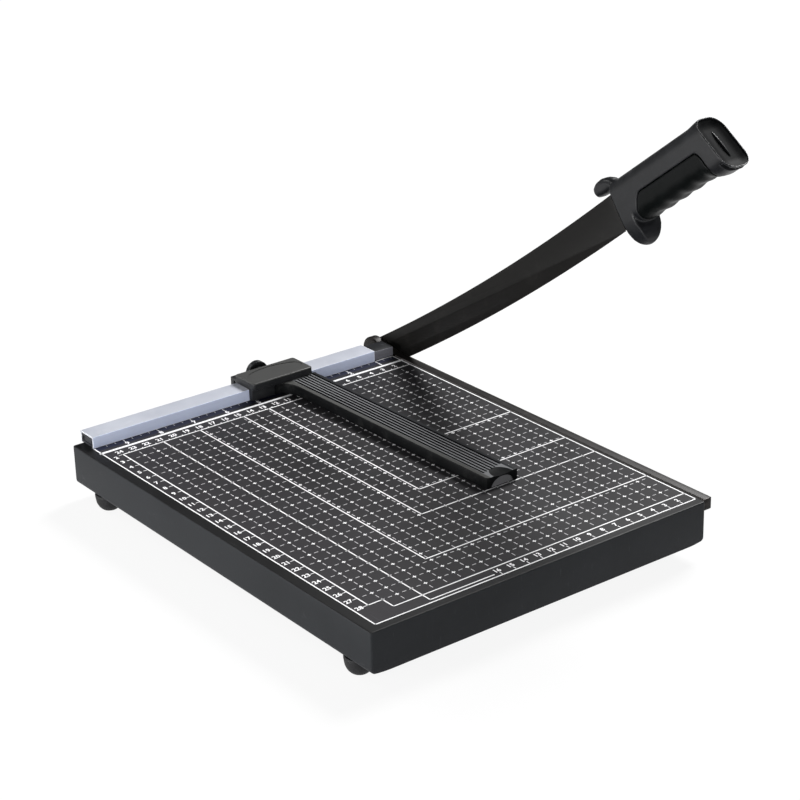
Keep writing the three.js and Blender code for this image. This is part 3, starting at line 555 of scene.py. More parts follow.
printSizes = {
    "pitch": 10, "firstCross": (-20, -30), "crosses": (22, 26), "crossArm": 1.25, "crossLine": 0.62,
    "acrossDash": 2.3, "alongDash": 2.9, "dashLine": 0.46, "frameLine": 0.85, "tickLine": 0.45,
    "thickLine": 2.2, "thickAt": (-250, -10.2, -10, -10.2), "quarter": 6.35, "quarters": (2, 38),
    "quarterTick": (-2.4, -0.8), "lift": 0.04, "dashLift": 0.02, "shift": 0.9, "bold": 0.14}
frameLines = [  # x, y to x, y
    (-250, 0, -250, -300), (-250, -300, -10, -300), (-10, -300, -10, 0), (-24, 0, -10, 0),
    (-240, -20, -10, -20), (-240, -20, -240, -280), (-240, -280, -230, -280), (-230, -280, -230, -290),
    (-230, -290, -10, -290), (-210, -20, -210, -297), (-210, -297, -164.5, -297),
    (-182, -20, -182, -257), (-182, -257, -10, -257), (-148, -20, -148, -210), (-148, -210, -10, -210),
    (-128, -20, -128, -182), (-128, -182, -10, -182), (-91, -20, -91, -128), (-91, -128, -10, -128)]
scales = [
    {"axis": "y", "pitch": 10, "range": (2, 28), "ticks": (-243, -240.5), "numbers": -246, "size": 4.9,
     "firstShift": -2},
    {"axis": "x", "pitch": 10, "range": (2, 16), "ticks": (-299, -296.9), "numbers": -294.3, "size": 4.9},
    {"axis": "x", "pitch": 10, "range": (2, 24), "numbers": -15.5, "size": 5.2},
    {"axis": "x", "pitch": 5, "range": (3, 47), "ticks": (-19.5, -18.6)},
    {"axis": "x", "pitch": 25.4, "range": (1, 9), "ticks": (-3.6, -0.6), "numbers": -6.6, "size": 5.6}]


def flatStroke(x0, y0, x1, y1, width):
    pickNone()
    left, right = min(x0, x1) - width / 2, max(x0, x1) + width / 2
    front, rear = min(y0, y1) - width / 2, max(y0, y1) + width / 2
    bpy.ops.mesh.primitive_plane_add(size=1, location=spot((left + right) / 2, (front + rear) / 2, 0))
    bpy.context.object.scale = ((right - left) * mm, (rear - front) * mm, 1)
    return settle("stroke")


def numberMesh(words, x, y, size):
    pickNone()
    bpy.ops.object.text_add(location=spot(x, y, 0))
    label = bpy.context.object
    label.data.body = words
    label.data.size = size * mm
    label.data.align_x = "CENTER"
    label.data.align_y = "CENTER"
    label.data.resolution_u = 2
    label.data.offset = printSizes["bold"] * mm
    bpy.ops.object.convert(target="MESH")
    return settle("number")


def joined(name, parts):
    pickNone()
    for part in parts:
        part.select_set(True)
    bpy.context.view_layer.objects.active = parts[0]
    bpy.ops.object.join()
    return settle(name)


def repeated(piece, columns, rows, pitch):
    for count, step in ((columns, (-pitch * mm, 0, 0)), (rows, (0, -pitch * mm, 0))):
        apply(piece, "ARRAY", count=count, use_relative_offset=False, use_constant_offset=True,
              constant_offset_displace=step)
    return piece


def thicken(piece, height, shift):
    edit(piece)
    faceOutwards()
    pull(0, 0, height)
    faceOutwards()
    done()
    place(piece, Matrix.Translation((shift * mm, 0, 0)))


def makeScale(scale, line):
    parts = []
    first, last = scale["range"]
    for n in range(first, last + 1):
        at = -scale["pitch"] * n
        if "numbers" in scale:
            moved = at + scale.get("firstShift", 0) if n == first else at
            x, y = (moved, scale["numbers"]) if scale["axis"] == "x" else (scale["numbers"], moved)
            parts.append(numberMesh(str(n), x, y, scale["size"]))
        if "ticks" in scale:
            start, end = scale["ticks"]
            stroke = (at, start, at, end) if scale["axis"] == "x" else (start, at, end, at)
            parts.append(flatStroke(*stroke, line))
    return parts


def makePrint(size):
    x, y = size["firstCross"]
    columns, rows = size["crosses"]
    pitch, line, arm = size["pitch"], size["crossLine"], size["crossArm"] - size["crossLine"] / 2
    cross = joined("crosses", [
        flatStroke(x - arm, y, x + arm, y, line), flatStroke(x, y - arm, x, y - line, line),
        flatStroke(x, y + line, x, y + arm, line)])
    parts = [repeated(cross, columns, rows, pitch)]
    parts += [flatStroke(*stroke, size["frameLine"]) for stroke in frameLines]
    parts.append(flatStroke(*size["thickAt"], size["thickLine"]))
    for scale in scales:
        parts += makeScale(scale, size["tickLine"])
    ruling = joined("board_print", parts)
    thicken(ruling, size["lift"], size["shift"])
    finishPiece(ruling, materials["printWhite"], "base", "tray_paint")

    thin, half, long = size["dashLine"], size["acrossDash"] / 2, size["alongDash"] / 2
    midX, midY = x + pitch / 2, y + pitch / 2
    across = repeated(flatStroke(midX - half, y, midX + half, y, thin), columns + 1, rows, pitch)
    along = repeated(flatStroke(x, midY - long, x, midY + long, thin), columns, rows + 1, pitch)
    first, last = size["quarters"]
    front, rear = size["quarterTick"]
    quarters = []
    for n in range(first, last + 1):
        if n % 4:  # every fourth quarter has the inch scale's tick
            quarters.append(flatStroke(-size["quarter"] * n, front, -size["quarter"] * n, rear, thin))
    dashes = joined("board_dashes", [across, along] + quarters)
    thicken(dashes, size["dashLift"], size["shift"])
    finishPiece(dashes, materials["printGrey"], "base", "tray_paint")
    print("print", len(ruling.data.polygons), len(dashes.data.polygons))


makePrint(printSizes)

# the rubber feet

footSizes = {
    "radius": 9.05, "height": 11.1, "top": -traySizes["height"], "sides": 40,
    "ring": 0.9, "step": 0.4, "rise": 0.5,
    "down": [0.0, 0.05, 0.15, 0.3, 0.5, 0.65, 0.78, 0.88, 0.95, 1.0],
    "round": [0.95, 1.0, 0.995, 0.97, 0.93, 0.86, 0.77, 0.66, 0.56, 0.4],
    "centres": {
        "foot_front_left": (-247.8, -282.3), "foot_front_right": (-16.4, -282.3),
        "foot_rear_left": (-247.8, -13.3), "foot_rear_right": (-16.4, -13.3)}}


def makeFeet(size):
    for node, (x, y) in size["centres"].items():
        pickNone()
        bpy.ops.mesh.primitive_circle_add(
            vertices=size["sides"], radius=size["radius"] * size["round"][0] * mm, fill_type="NGON",
            location=spot(x, y, size["top"]))
        foot = settle(node + "_rubber")
        edit(foot)
        bpy.ops.mesh.select_mode(type="FACE")
        bpy.ops.mesh.select_all(action="SELECT")
        for i in range(1, len(size["down"])):
            share = size["round"][i] / size["round"][i - 1]
            pull(0, 0, (size["down"][i - 1] - size["down"][i]) * size["height"])
            bpy.ops.transform.resize(value=(share, share, 1), center_override=spot(x, y, 0))
        inset(size["ring"])
        inset(size["step"], size["rise"])
        faceOutwards()
        done()
        finishPiece(foot, materials["footRubber"], "base", "foot_rubber", node, angle=50)


print("feet")
makeFeet(footSizes)

# the fixed blade and its pivot bolt

stripSizes = {
    "left": -7.3, "right": 0.0, "front": -304, "rear": 14.7, "height": 8.1, "chamfer": 1.2, "toe": 0.8,
    "round": 0.25, "earSoften": 1.5,
    "earFront": [(20, 3.9), (12, 2.2), (4, 0.7), (-3, -0.4), (-6, -8.1), (13.2, -8.1)],
    "earArcs": [(27.5, -9.3, 11.6, 215, 350), (27.5, -4.9, 9.9, 5, 125)]}  # y, z, radius, two angles
boltSizes = {
    "at": (0, layout["pivotY"], layout["pivotZ"]), "headLeft": -12.6, "headRight": -7.3, "headRadius": 7.5,
    "headRound": 0.5, "shankLeft": -8, "shankRight": 20.9, "shankRadius": 4, "endBevel": 0.7}


def makeStrip(size):
    low = (size["left"], size["front"], -size["height"])
    strip = addBox("fixed_strip", low, (size["right"], size["rear"], 0))
    edit(strip)
    choose("EDGE", lambda edge, at: lies(edge, "y") and at.x < size["left"] + near and at.z > -near)
    bevel(size["chamfer"], 1)
    choose("EDGE", lambda edge, at: (
        lies(edge, "x") and at.y < size["front"] + near and at.z < near - size["height"]))
    bevel(size["toe"], 1)
    done()
    roundEdges(strip, size["round"], 2, 30)
    points = list(size["earFront"])
    for y, z, radius, start, end in size["earArcs"]:
        points += arc(y, z, radius, radius, start, end, 18)
    ear = addOutline("ear", points, "x", size["left"], size["right"], size["earSoften"], 4)
    combine(strip, "UNION", ear)
    mend(strip)
    finishPiece(strip, materials["stripSteel"], "base", "strip_steel", "fixed_blade")


def makeBolt(size):
    at = size["at"]
    head = addRod("bolt_head", "x", size["headLeft"], size["headRight"], size["headRadius"], at, 6)
    roundEdges(head, size["headRound"], 2, 30)
    shank = addRod("bolt_shank", "x", size["shankLeft"], size["shankRight"], size["shankRadius"], at, 40)
    edit(shank)
    choose("EDGE", lambda edge, at: at.x > size["shankRight"] - near and not lies(edge, "x"))
    bevel(size["endBevel"], 2)
    done()
    combine(head, "UNION", shank)
    finishPiece(head, materials["blackSteel"], "base", "black_steel", "pivot_bolt")
    head.name = "bolt"


print("fixed blade")
makeStrip(stripSizes)
makeBolt(boltSizes)

# the fence

fenceSizes = {
    "left": -249, "right": -24.5, "front": -0.1, "rear": 15.7, "height": 7.7, "wall": 1.0, "edge": 0.45,
    "coreFront": 1.0, "coreRear": 14.6, "coreTop": 6.6, "barLeft": -242.7, "barRight": -7.6, "barRound": 0.3,
    "plugEnd": -243, "plugRim": 1.4, "plugRecess": 1.0, "plugRound": 0.25}


def makeFence(size):
    cover = addBox("cover", (size["left"], size["front"], 0), (size["right"], size["rear"], size["height"]))
    edit(cover)
    choose("FACE", lambda face, at: face.normal.z < -0.9 or abs(face.normal.x) > 0.9)
    bpy.ops.mesh.delete(type="FACE")
    choose("EDGE", lambda edge, at: lies(edge, "x") and at.z > size["height"] - near)
    bevel(size["edge"], 3)
    done()
    apply(cover, "SOLIDIFY", thickness=size["wall"] * mm, offset=-1, use_even_offset=True)
    finishPiece(cover, materials["coverPlastic"], "base", "cover_plastic", "fence_cover")

    front, rear, top = size["coreFront"], size["coreRear"], size["coreTop"]
    bar = addBox("core_bar", (size["barLeft"], front, 0), (size["barRight"], rear, top))
    roundEdges(bar, size["barRound"], 2)
    finishPiece(bar, materials["barPlastic"], "base", "bar_plastic", "fence_bar")

    plug = addBox("end_plug", (size["left"], front, 0), (size["plugEnd"], rear, top))
    edit(plug)
    choose("FACE", lambda face, at: face.normal.x < -0.9)
    inset(size["plugRim"])
    pull(size["plugRecess"], 0, 0)
    done()
    roundEdges(plug, size["plugRound"], 2, 30)
    finishPiece(plug, materials["plugPlastic"], "base", "bar_plastic", "fence_end_plug")


print("fence")
makeFence(fenceSizes)

# the sliding guide

headSizes = {
    "left": -129.3, "right": -81.3, "slabTop": 13.5, "slabUnder": 8.2, "slabFront": -6.4, "slabRear": 16.6,
    "corner": 2.0, "soften": 0.7, "panel": (-104.6, 5.1, 21.7, 8.8), "panelDepth": 0.5,
    "bore": (-105.3, 0, 6), "boreFront": 16.5, "boreRear": 24, "boreRadius": 3.75,
    "boxes": {  # front, under, rear, top and how far its edges are rounded
        "core": (-4.0, 7.85, 16.6, 10.8, 0.3), "front": (-4.0, 0.4, -0.25, 9, 0.3),
        "shelf": (15.75, 8.6, 22, 10.5, 0.5), "rear": (18.5, -1, 22, 10.5, 0.5)}}
armSizes = {
    "left": -101.4, "width": 23.6, "front": -210.7, "rear": -4.0, "top": 8.0, "under": 0.4, "soften": 0.6,
    "lean": 1.23, "root": (10, 16), "tip": [(0, 2.4), (0.5, 0.9), (1.5, 0.2), (3, 0)], "tipSkew": 0.5,
    "wall": 1.8, "rootWall": 2.2, "middleShift": 0.3,
    "archRadius": 8.85, "archDepth": 1.1, "archSquash": 0.7,
    "scoop": (10.9, 15.4, 3), "scoopAt": (0.5, -0.2, 2.1),
    "grooves": 7, "groovePitch": 2.68, "grooveWidth": 1.55, "grooveDepth": 1.1, "grooveFirst": 4.05,
    "grooveRear": -8.0, "grooveFront": -203.2, "grooveStep": 0.62, "crest": 0.34}
armLook = {
    "dark": "070809", "light": "0c0d0e", "rubAndHighlight": "5e5e5c", "rough": 0.4, "specular": 0.1, "edge": 0.35,
    "scuff": 0.1, "edgeWearAndHighlight": 0.0,
    # painted light on the arm: the top lighter, the rib crests and the left edge painted highlights, and the
    # back of the arch painted lighter as lit board seen through it
    "topLight": "2b2c2e", "ribHighlight": "78797b", "ribsRight": -80.7, "leftEdgeHighlight": "454543", "leftEdgeRight": -98.5,
    "arch": "6c6c6e", "archLeft": -99.6, "archRight": -79.6, "archTop": 6.9, "archFloor": (0.6, 1.6)}
knobSizes = {
    "at": headSizes["bore"], "front": 24, "rear": 28, "radius": 8, "flute": 0.45, "fluteBevel": 0.1,
    "rim": 2.2, "step": 0.5, "boss": 3.6, "bossLength": 1.6, "round": 0.5}


def makeHead(size):
    left, right = size["left"], size["right"]
    shape = roundedRectangle(left, size["slabFront"], right, size["slabRear"], size["corner"])
    head = addOutline("head", shape, "z", size["slabUnder"], size["slabTop"], size["soften"], 3)
    oval = arc(*size["panel"], 0, 360, 56)[:-1]
    panel = addOutline("panel", oval, "z", size["slabTop"] - size["panelDepth"], size["slabTop"] + 1)
    combine(head, "DIFFERENCE", panel)
    for name, (front, under, rear, top, width) in size["boxes"].items():
        box = addBox(name, (left, front, under), (right, rear, top))
        roundEdges(box, width, 2)
        combine(head, "UNION", box)
    bore = addRod("bore", "y", size["boreFront"], size["boreRear"], size["boreRadius"], size["bore"])
    combine(head, "DIFFERENCE", bore)
    finishPiece(head, materials["headPlastic"], "guide", "guide_plastic", "guide_head")


# the arm leans, and so do the edges of its patches of painted light
def armFaces(size, look):
    lean = math.radians(size["lean"])
    sideways, lengthways = (1, math.tan(lean), 0), (-math.tan(lean), 1, 0)
    corner = spot(size["left"], size["rear"], 0)
    tip = Vector(lengthways).dot(corner) - (size["rear"] - size["front"]) * mm / math.cos(lean)
    onTop = opposite(*below(size["top"] - near))
    floorFront, floorRear = look["archFloor"]

    def leftAlong(x):
        return sideways, spot(x, 0, 0).x + corner.y * sideways[1]

    arch = [
        (lengthways, tip + floorRear * mm), opposite(lengthways, tip + floorFront * mm),
        leftAlong(look["archRight"]), opposite(*leftAlong(look["archLeft"])), below(look["archTop"])]
    return [
        ([onTop], look["topLight"]), ([onTop, leftAlong(look["ribsRight"])], look["ribHighlight"]),
        ([onTop, leftAlong(look["leftEdgeRight"])], look["leftEdgeHighlight"]), (arch, look["arch"])]


def armOutline(size):
    left, front, rear = size["left"], size["front"], size["rear"]
    wide, long = size["root"]
    points = arc(left - wide, rear - long, wide, long, 90, 0, 12)
    points += [(left + x, front + y) for x, y in size["tip"]]
    return points + [(left + size["width"], front - size["tipSkew"]), (left + size["width"], rear)]


def makeArch(size, middle):
    front, foot = size["front"], (middle, size["front"], size["under"])
    arch = addRod("arch", "y", front - 2, front + size["archDepth"], size["archRadius"], foot, 40)
    edit(arch)
    bpy.ops.mesh.select_all(action="SELECT")
    bpy.ops.transform.resize(value=(1, 1, size["archSquash"]), center_override=spot(*foot))
    done()
    return arch


def makeScoop(size, middle):
    pickNone()
    x, y, z = size["scoopAt"]
    bpy.ops.mesh.primitive_uv_sphere_add(
        segments=48, ring_count=24, radius=mm, location=spot(middle + x, size["front"] + y, size["top"] + z),
        scale=size["scoop"])
    return settle("scoop")


def makeGrooves(size, first):
    half, front, rear = size["grooveWidth"] / 2, size["grooveFront"], size["grooveRear"]
    groove = addOutline("groove", [
        (first - half, rear), (first - half, front + 1), (first - half * 0.6, front),
        (first + half * 0.6, front), (first + half, front + 1), (first + half, rear)],
        "z", size["top"] - size["grooveDepth"], size["top"] + 1)
    apply(groove, "ARRAY", count=size["grooves"], use_relative_offset=False, use_constant_offset=True,
          constant_offset_displace=(size["groovePitch"] * mm, size["grooveStep"] * mm, 0))
    return groove


def makeArm(size):
    left, right = size["left"], size["left"] + size["width"]
    front, rear, wall = size["front"], size["rear"], size["wall"]
    middle = (left + right) / 2 + size["middleShift"]
    first = left + size["grooveFirst"]
    arm = addOutline("arm", armOutline(size), "z", size["under"], size["top"], size["soften"], 3)
    far = (right - wall, rear - size["rootWall"], size["top"] - wall)
    channel = addBox("channel", (left + wall, front + wall, -1), far)
    arch = makeArch(size, middle)
    scoop = makeScoop(size, middle)
    combine(arm, "DIFFERENCE", channel, arch, makeGrooves(size, first))
    edit(arm)
    choose("EDGE", lambda edge, at: (
        lies(edge, "y") and abs(at.z - size["top"]) < touching and first - 1 < at.x < right - 1))
    bevel(size["crest"], 2)
    done()
    combine(arm, "DIFFERENCE", scoop)
    hinge = Matrix.Translation(spot(left, rear, 0))
    place(arm, hinge @ Matrix.Rotation(math.radians(size["lean"]), 4, "Z") @ hinge.inverted())
    finishPiece(arm, materials["armPlastic"], "guide", "guide_plastic", "guide_arm")


def makeKnob(size):
    knob = addRod("knob", "y", size["front"], size["rear"], size["radius"], size["at"], 24)
    edit(knob)
    choose("FACE", lambda face, at: abs(face.normal.y) < 0.1)
    bpy.ops.mesh.inset(thickness=size["flute"] * mm, use_individual=True)
    bevel(size["fluteBevel"], 1)
    choose("FACE", lambda face, at: face.normal.y > 0.9)
    inset(size["rim"])
    inset(size["step"], -size["step"])
    choose("FACE", lambda face, at: face.normal.y < -0.9)
    inset(size["boss"])
    pull(0, -size["bossLength"], 0)
    done()
    roundEdges(knob, size["round"], 3, 40)
    finishPiece(knob, materials["guidePlastic"], "knob", "guide_plastic", "clamp_knob")


print("guide")
materials["armPlastic"] = moulded("armPlastic", {**armLook, "faces": armFaces(armSizes, armLook)})
makeHead(headSizes)
makeArm(armSizes)
makeKnob(knobSizes)

# the moving blade, in its own lengths: along from the pivot and up when closed

bladeSizes = {
    "left": 0.05, "right": 2.05, "length": 302.5, "tail": 10.9,
    "edgeDrop": 10.6, "edgeStraight": 40, "edgeRise": 15, "spineStraight": 20, "spineRise": 17.7,
    "reach": 295.5, "steps": 40, "grind": 3.0, "grindFrom": 12,
    "tailEnd": -76, "guardLap": 0.4, "bore": 4.08, "round": 0.15}


def makeBlade(size):
    def curve(start, straight, rise, along):
        return start + rise * (max(0, along - straight) / (size["reach"] - straight)) ** 2

    def edgeAt(along):
        return curve(-size["edgeDrop"], size["edgeStraight"], size["edgeRise"], along)

    def spineAt(along):
        return curve(size["tail"], size["spineStraight"], size["spineRise"], along)

    stations = [size["length"] * i / size["steps"] for i in range(1, size["steps"] + 1)]
    points = [(-along, edgeAt(along)) for along in stations]
    points += [(-along, spineAt(along)) for along in reversed(stations)]
    points += arc(0, 0, size["tail"], size["tail"], 90, size["tailEnd"], 24)
    blade = addOutline("blade", points, "x", size["left"], size["right"], local=True)
    edit(blade)
    bpy.ops.mesh.select_mode(type="VERT")
    bpy.ops.mesh.select_all(action="DESELECT")
    shape = bmesh.from_edit_mesh(blade.data)
    for vert in shape.verts:
        along, height = -vert.co.y / mm, vert.co.z / mm
        onRight = vert.co.x / mm > (size["left"] + size["right"]) / 2
        vert.select_set(onRight and along > size["grindFrom"] and height < edgeAt(along) + near)
    bmesh.update_edit_mesh(blade.data)
    bpy.ops.transform.translate(value=(0, 0, size["grind"] * mm))
    bpy.ops.mesh.select_mode(type="FACE")
    bpy.ops.mesh.select_all(action="SELECT")
    tilt = math.radians(layout["guardTilt"])
    guard = (0, -(layout["guardAlong"] + size["guardLap"]) * mm, layout["guardUp"] * mm)
    outwards = (0, -math.cos(tilt), math.sin(tilt))
    bpy.ops.mesh.bisect(plane_co=guard, plane_no=outwards, use_fill=True, clear_outer=True)
    done()
    bpy.context.view_layer.update()
    circle = arc(0, 0, size["bore"], size["bore"], 0, 360, 40)[:-1]
    bore = addOutline("bore", circle, "x", -1, 3, local=True)
    combine(blade, "DIFFERENCE", bore)
    roundEdges(blade, size["round"], 2, 50)
    place(blade, onBlade)
    finishPiece(blade, materials["bladePaint"], "blade", "blade_paint", "moving_blade")


print("blade")
makeBlade(bladeSizes)

# the handle, in its own lengths: along from the guard and up from the blade's middle

handleSizes = {
    "left": 0.05, "width": 20.95, "top": 19.7, "bottom": -11.5, "corner": 8.0, "length": 112, "step": 1.75,
    "wavePitch": 14.0, "waveDepth": 0.8, "waveFirst": 17.5, "waves": 5,
    "flareStart": 77, "flareLength": 12, "flareUp": 1.2, "flareDown": 3.9,
    "endMiddle": 95.6, "slant": 19, "rim": 1.0, "pocket": 4.6, "capLayers": (0.8, 4.3), "capGap": 0.15,
    "capSteps": [(0.9, -0.15), (1.4, -0.6), (2.0, -0.5), (1.6, -0.2)],
    "ridge": (1.0, 1.1, 9.5), "ridgeAt": 2.2, "lobeDepth": 24.6, "lobeWaist": -5.75,
    "horn": (3.5, 12.5), "hornRound": 3.4, "gripGap": 0.3, "voxel": 0.5}
# outlines of the grip, the lobe and the horn from the side
gripOutline = [
    (14.2, -22), (14.2, -12.9), (14.9, -10), (17.1, -5), (20.5, 0.1), (23, 2.7), (25.5, 3.9), (80.6, 3.9),
    (83, 1.8), (84.6, -1.6), (86.4, -9), (86.6, -22)]
lobeOutline = [
    (0, 4), (0, -14.5), (0.3, -18.6), (1.2, -21.9), (2.7, -24), (4.6, -24.9), (7, -24.2), (9, -21.8),
    (10.3, -18.6), (11.2, -14.8), (11.5, -9.5), (11.5, 4)]
hornOutline = [
    (5, 10), (3.5, 18.9), (0.3, 22.2), (-4.1, 24.4), (-8.4, 25.4), (-13.7, 25), (-17.7, 23), (-18.7, 19.6),
    (-17.1, 16.3), (-13.8, 15.5), (-8, 15.1), (-3.7, 15.4), (0, 14), (0, 10)]


def side(points):
    return [(-along, up) for along, up in points]


def flare(size, along):
    share = min(1, max(0, (along - size["flareStart"]) / size["flareLength"]))
    return share ** 2 * (3 - 2 * share)


def handleLow(size, along):
    first, pitch = size["waveFirst"], size["wavePitch"]
    swell = 0
    if first - pitch / 2 < along < first + pitch * (size["waves"] - 0.5):
        swell = size["waveDepth"] / 2 * (1 + math.cos(2 * math.pi * (along - first) / pitch))
    return size["bottom"] + size["waveDepth"] / 2 - swell - size["flareDown"] * flare(size, along)


def handleHigh(size, along):
    return size["top"] + size["flareUp"] * flare(size, along)


def makeLobe(size):
    middle, half = size["left"] + size["width"] / 2, size["width"] / 2
    lobe = addOutline("lobe", side(lobeOutline), "x", size["left"], size["left"] + size["width"], local=True)
    waist, depth = size["lobeWaist"], size["lobeDepth"]
    front = [(middle - half, 4), (middle + half, 4)]
    front += arc(middle, waist, half, -(depth + waist), 0, 180, 24)
    across = addOutline("across", front, "y", -20, 5, local=True)
    return combine(lobe, "INTERSECT", across)


def makeShell(size):
    pickNone()
    middleX = (size["left"] + size["width"] / 2) * mm
    low, top = handleLow(size, 0), size["top"]
    middle = (middleX, 0, (low + top) / 2 * mm)
    bpy.ops.mesh.primitive_plane_add(size=1, location=middle, rotation=(math.pi / 2, 0, 0))
    bpy.context.object.scale = (size["width"] * mm, (top - low) * mm, 1)
    shell = settle("shell")
    edit(shell)
    bpy.ops.mesh.select_all(action="SELECT")
    bpy.ops.mesh.bevel(offset=size["corner"] * mm, segments=7, affect="VERTICES")
    bpy.ops.mesh.select_all(action="SELECT")
    bpy.ops.mesh.select_mode(type="FACE")
    count = round(size["length"] / size["step"])
    last, lastTop = low, top
    for i in range(1, count + 1):
        now, nowTop = handleLow(size, i * size["step"]), handleHigh(size, i * size["step"])
        share = (nowTop - now) / (lastTop - last)
        pull(0, -size["step"], nowTop - lastTop)
        topLight = (middleX, -i * size["step"] * mm, nowTop * mm)
        bpy.ops.transform.resize(value=(1, 1, share), center_override=topLight)
        last, lastTop = now, nowTop
    faceOutwards()
    done()
    return shell


def copyOf(piece, name):
    other = piece.copy()
    other.data = piece.data.copy()
    other.name = name
    bpy.context.scene.collection.objects.link(other)
    return other


# the middle of the handle's slanted end, turned with it
def endPlane(size):
    middle = (handleHigh(size, size["endMiddle"]) + handleLow(size, size["endMiddle"])) / 2
    lean = Matrix.Rotation(math.radians(-size["slant"]), 4, "X")
    return Matrix.Translation((0, -size["endMiddle"] * mm, middle * mm)) @ lean


# a block across that end, from so deep inside to so far out
def endBlock(size, name, deep, out, margin):
    height = handleHigh(size, size["endMiddle"]) - handleLow(size, size["endMiddle"])
    half = height / 2 / math.cos(math.radians(size["slant"])) - margin
    wide = size["width"] / 2 - margin
    middle = size["left"] + size["width"] / 2
    shape = roundedRectangle(middle - wide, -half, middle + wide, half, max(1, size["corner"] - margin), 7)
    block = addOutline(name, shape, "y", -out, deep, local=True)
    place(block, endPlane(size))
    return block


def voxelRound(piece, size, passes):
    apply(piece, "REMESH", mode="VOXEL", voxel_size=size * mm, use_smooth_shade=True)
    apply(piece, "SMOOTH", factor=0.5, iterations=passes)


def makeGrip(size, shell):
    reach = size["left"] + size["width"]
    region = addOutline("region", side(gripOutline), "x", -5, reach + 5, local=True)
    grip = copyOf(shell, "grip")
    combine(grip, "INTERSECT", region)
    voxelRound(grip, size["voxel"], passes=4)
    place(grip, onHandle)
    finishPiece(grip, materials["gripPlastic"], "blade", "grip_plastic", "handle_grip", angle=60)
    return grip


def makeCap(size):
    outer, inner = size["capLayers"]
    cap = endBlock(size, "cap", inner, -outer, size["rim"] + size["capGap"])
    edit(cap)
    choose("FACE", lambda face, at: face.normal.y < -0.8)
    for width, depth in size["capSteps"]:
        inset(width, depth)
    done()
    place(cap, onHandle)
    finishPiece(cap, materials["capPlastic"], "blade", "handle_plastic", "handle_end_cap")

    pickNone()
    bpy.ops.mesh.primitive_uv_sphere_add(segments=32, ring_count=24, radius=mm, scale=size["ridge"])
    ridge = settle("cap_ridge")
    outwards = Matrix.Translation(((size["left"] + size["width"]) / 2 * mm, size["ridgeAt"] * mm, 0))
    place(ridge, onHandle @ endPlane(size) @ outwards)
    # the ridge takes the handle's finish, lighter than the cap's, as a painted highlight line
    finishPiece(ridge, materials["handlePlastic"], "blade", "handle_plastic")


def makeHandle(size):
    shell = makeShell(size)
    grip = makeGrip(size, shell)
    grown = []
    for along, up in gripOutline:
        gap = size["gripGap"] if along > size["length"] / 2 else -size["gripGap"]
        grown.append((along + gap, up + size["gripGap"]))
    wide = addOutline("wide", side(grown), "x", -5, size["left"] + size["width"] + 5, local=True)
    horn = addOutline("horn", side(hornOutline), "x", *size["horn"], size["hornRound"], 5, local=True)
    cutEnd = endBlock(size, "cutEnd", 0, 60, -30)
    pocket = endBlock(size, "pocket", size["pocket"], 20, size["rim"])
    shell = joined("shell", [shell, makeLobe(size), horn])
    voxelRound(shell, size["voxel"], passes=6)
    combine(shell, "DIFFERENCE", wide, cutEnd, pocket)
    voxelRound(shell, size["voxel"] * 0.8, passes=5)
    place(shell, onHandle)
    finishPiece(shell, materials["handlePlastic"], "blade", "handle_plastic", "handle_body", angle=60)
    shell.name = "handle"
    makeCap(size)
    print("handle", len(shell.data.polygons), len(grip.data.polygons))


makeHandle(handleSizes)

# materials of the nodes that stay

screwCounts = {"fixed_blade_screw": 5, "fence_screw": 3, "guide_screw": 2, "handle_screw": 2}
screws = [f"{screw}_{n}" for screw, count in screwCounts.items() for n in range(1, count + 1)]
nodeFinishes = {
    "zincSteel": screws + ["pivot_washer_inner", "pivot_washer_outer", "pivot_spring_washer_inner",
                           "pivot_spring_washer_outer", "pivot_lock_nut", "clamp_screw"],
    "brass": ["clamp_insert"],
    "guidePlastic": ["clamp_shoe"],
}
for finishName, nodeNames in nodeFinishes.items():
    for nodeName in nodeNames:
        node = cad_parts[nodeName]
        node.data.materials.clear()
        node.data.materials.append(materials[finishName])
        smooth(node, 30)

# the studio

studio = {
    "eye": (-865.5, -1148.4, 581.3), "look": (0.5517, 0.7349, -0.3944), "up": (0.2575, 0.2997, 0.9186),
    "focalPixels": 2212.6, "photoPixels": 800, "sensor": 36, "farthest": 50,
    "floor": 8, "floorColour": (0.85, 0.85, 0.85), "floorGlow": 0.9,
    "sky": (0.94, 0.97, 1, 1), "skyPower": 0.08,
    "lamps": {  # place, target, width and height in metres, and watts
        "keyLamp": ((2.3, 0.7, 2.5), (0, 0, 0.05), (1.1, 1.1), 185),
        "leftLamp": ((-1.0, 0.15, 0.12), (-0.13, 0, 0.02), (0.8, 0.4), 14),
        "rimLamp": ((-0.95, 1.8, 1.35), (0, 0, 0.03), (0.9, 0.5), 12),
        "frontLamp": ((-0.4, -2.6, 0.7), (0, 0, 0.03), (1.4, 1.0), 28)}}


def makeCamera(view):
    forward = Vector(view["look"]).normalized()
    right = forward.cross(Vector(view["up"])).normalized()
    up = right.cross(forward)
    bpy.ops.object.camera_add()
    camera = bpy.context.object
    turn = Matrix((right, up, -forward)).transposed().to_4x4()
    camera.matrix_world = Matrix.Translation(spot(*view["eye"])) @ turn
    camera.data.lens = view["focalPixels"] / view["photoPixels"] * view["sensor"]
    camera.data.sensor_width = view["sensor"]
    camera.data.clip_end = view["farthest"]
    bpy.context.scene.camera = camera


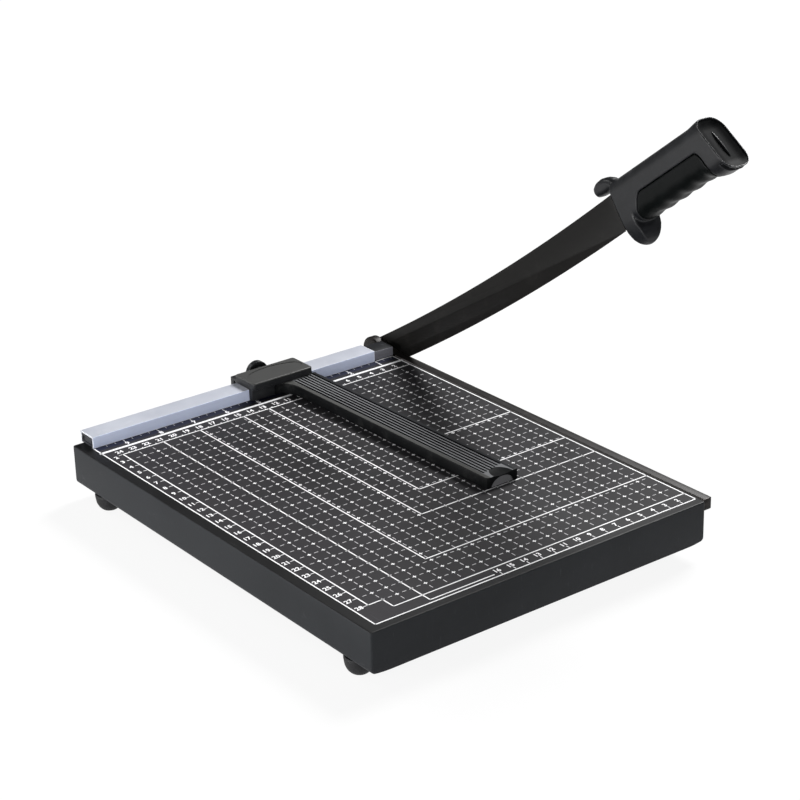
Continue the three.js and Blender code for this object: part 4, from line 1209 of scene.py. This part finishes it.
# 1 for rays that show the floor, straight, mirrored or through something, and 0 for those that only light
def shown(finish):
    rays = finish.make("ShaderNodeLightPath", {}, {}, "Is Camera Ray")
    glossy = Wire(finish, rays.socket.node.outputs["Is Glossy Ray"])
    through = Wire(finish, rays.socket.node.outputs["Is Transmission Ray"])
    return rays.maths("MAXIMUM", rays, rays.maths("MAXIMUM", glossy, through))


def makeFloor(view):
    pickNone()
    bpy.ops.mesh.primitive_plane_add(size=view["floor"], location=(0, 0, 0))
    floor = settle("floor")
    finish = Finish("floorPaper", 0.9)
    finish.out(Base_Color=view["floorColour"])
    glow = finish.nodes.new("ShaderNodeEmission")
    mixer = finish.nodes.new("ShaderNodeMixShader")
    finish.feed(mixer.inputs[0], shown(finish) * view["floorGlow"])
    finish.links.new(finish.shader.outputs[0], mixer.inputs[1])
    finish.links.new(glow.outputs[0], mixer.inputs[2])
    finish.links.new(mixer.outputs[0], finish.output.inputs[0])
    floor.data.materials.append(finish.material)


def makeWorld(view):
    world = bpy.data.worlds.new("studio")
    bpy.context.scene.world = world
    world.use_nodes = True
    nodes, links = world.node_tree.nodes, world.node_tree.links
    nodes.clear()
    output = nodes.new("ShaderNodeOutputWorld")
    rays = nodes.new("ShaderNodeLightPath")
    soft = nodes.new("ShaderNodeBackground")
    soft.inputs["Color"].default_value = view["sky"]
    soft.inputs["Strength"].default_value = view["skyPower"]
    plain = nodes.new("ShaderNodeBackground")
    plain.inputs["Color"].default_value = (1, 1, 1, 1)
    plain.inputs["Strength"].default_value = 1.0
    mixer = nodes.new("ShaderNodeMixShader")
    links.new(rays.outputs["Is Camera Ray"], mixer.inputs[0])
    links.new(soft.outputs[0], mixer.inputs[1])
    links.new(plain.outputs[0], mixer.inputs[2])
    links.new(mixer.outputs[0], output.inputs[0])


def addLamp(name, at, target, size, power):
    pickNone()
    bpy.ops.object.light_add(type="AREA", location=at)
    lamp = bpy.context.object
    lamp.name = name
    lamp.data.shape = "RECTANGLE"
    lamp.data.size, lamp.data.size_y = size
    lamp.data.energy = power
    lamp.rotation_euler = (Vector(target) - Vector(at)).to_track_quat("-Z", "Y").to_euler()


print("studio")
makeCamera(studio)
makeFloor(studio)
makeWorld(studio)
for lampName, lampValues in studio["lamps"].items():
    addLamp(lampName, *lampValues)
bpy.context.scene.view_settings.view_transform = "Standard"
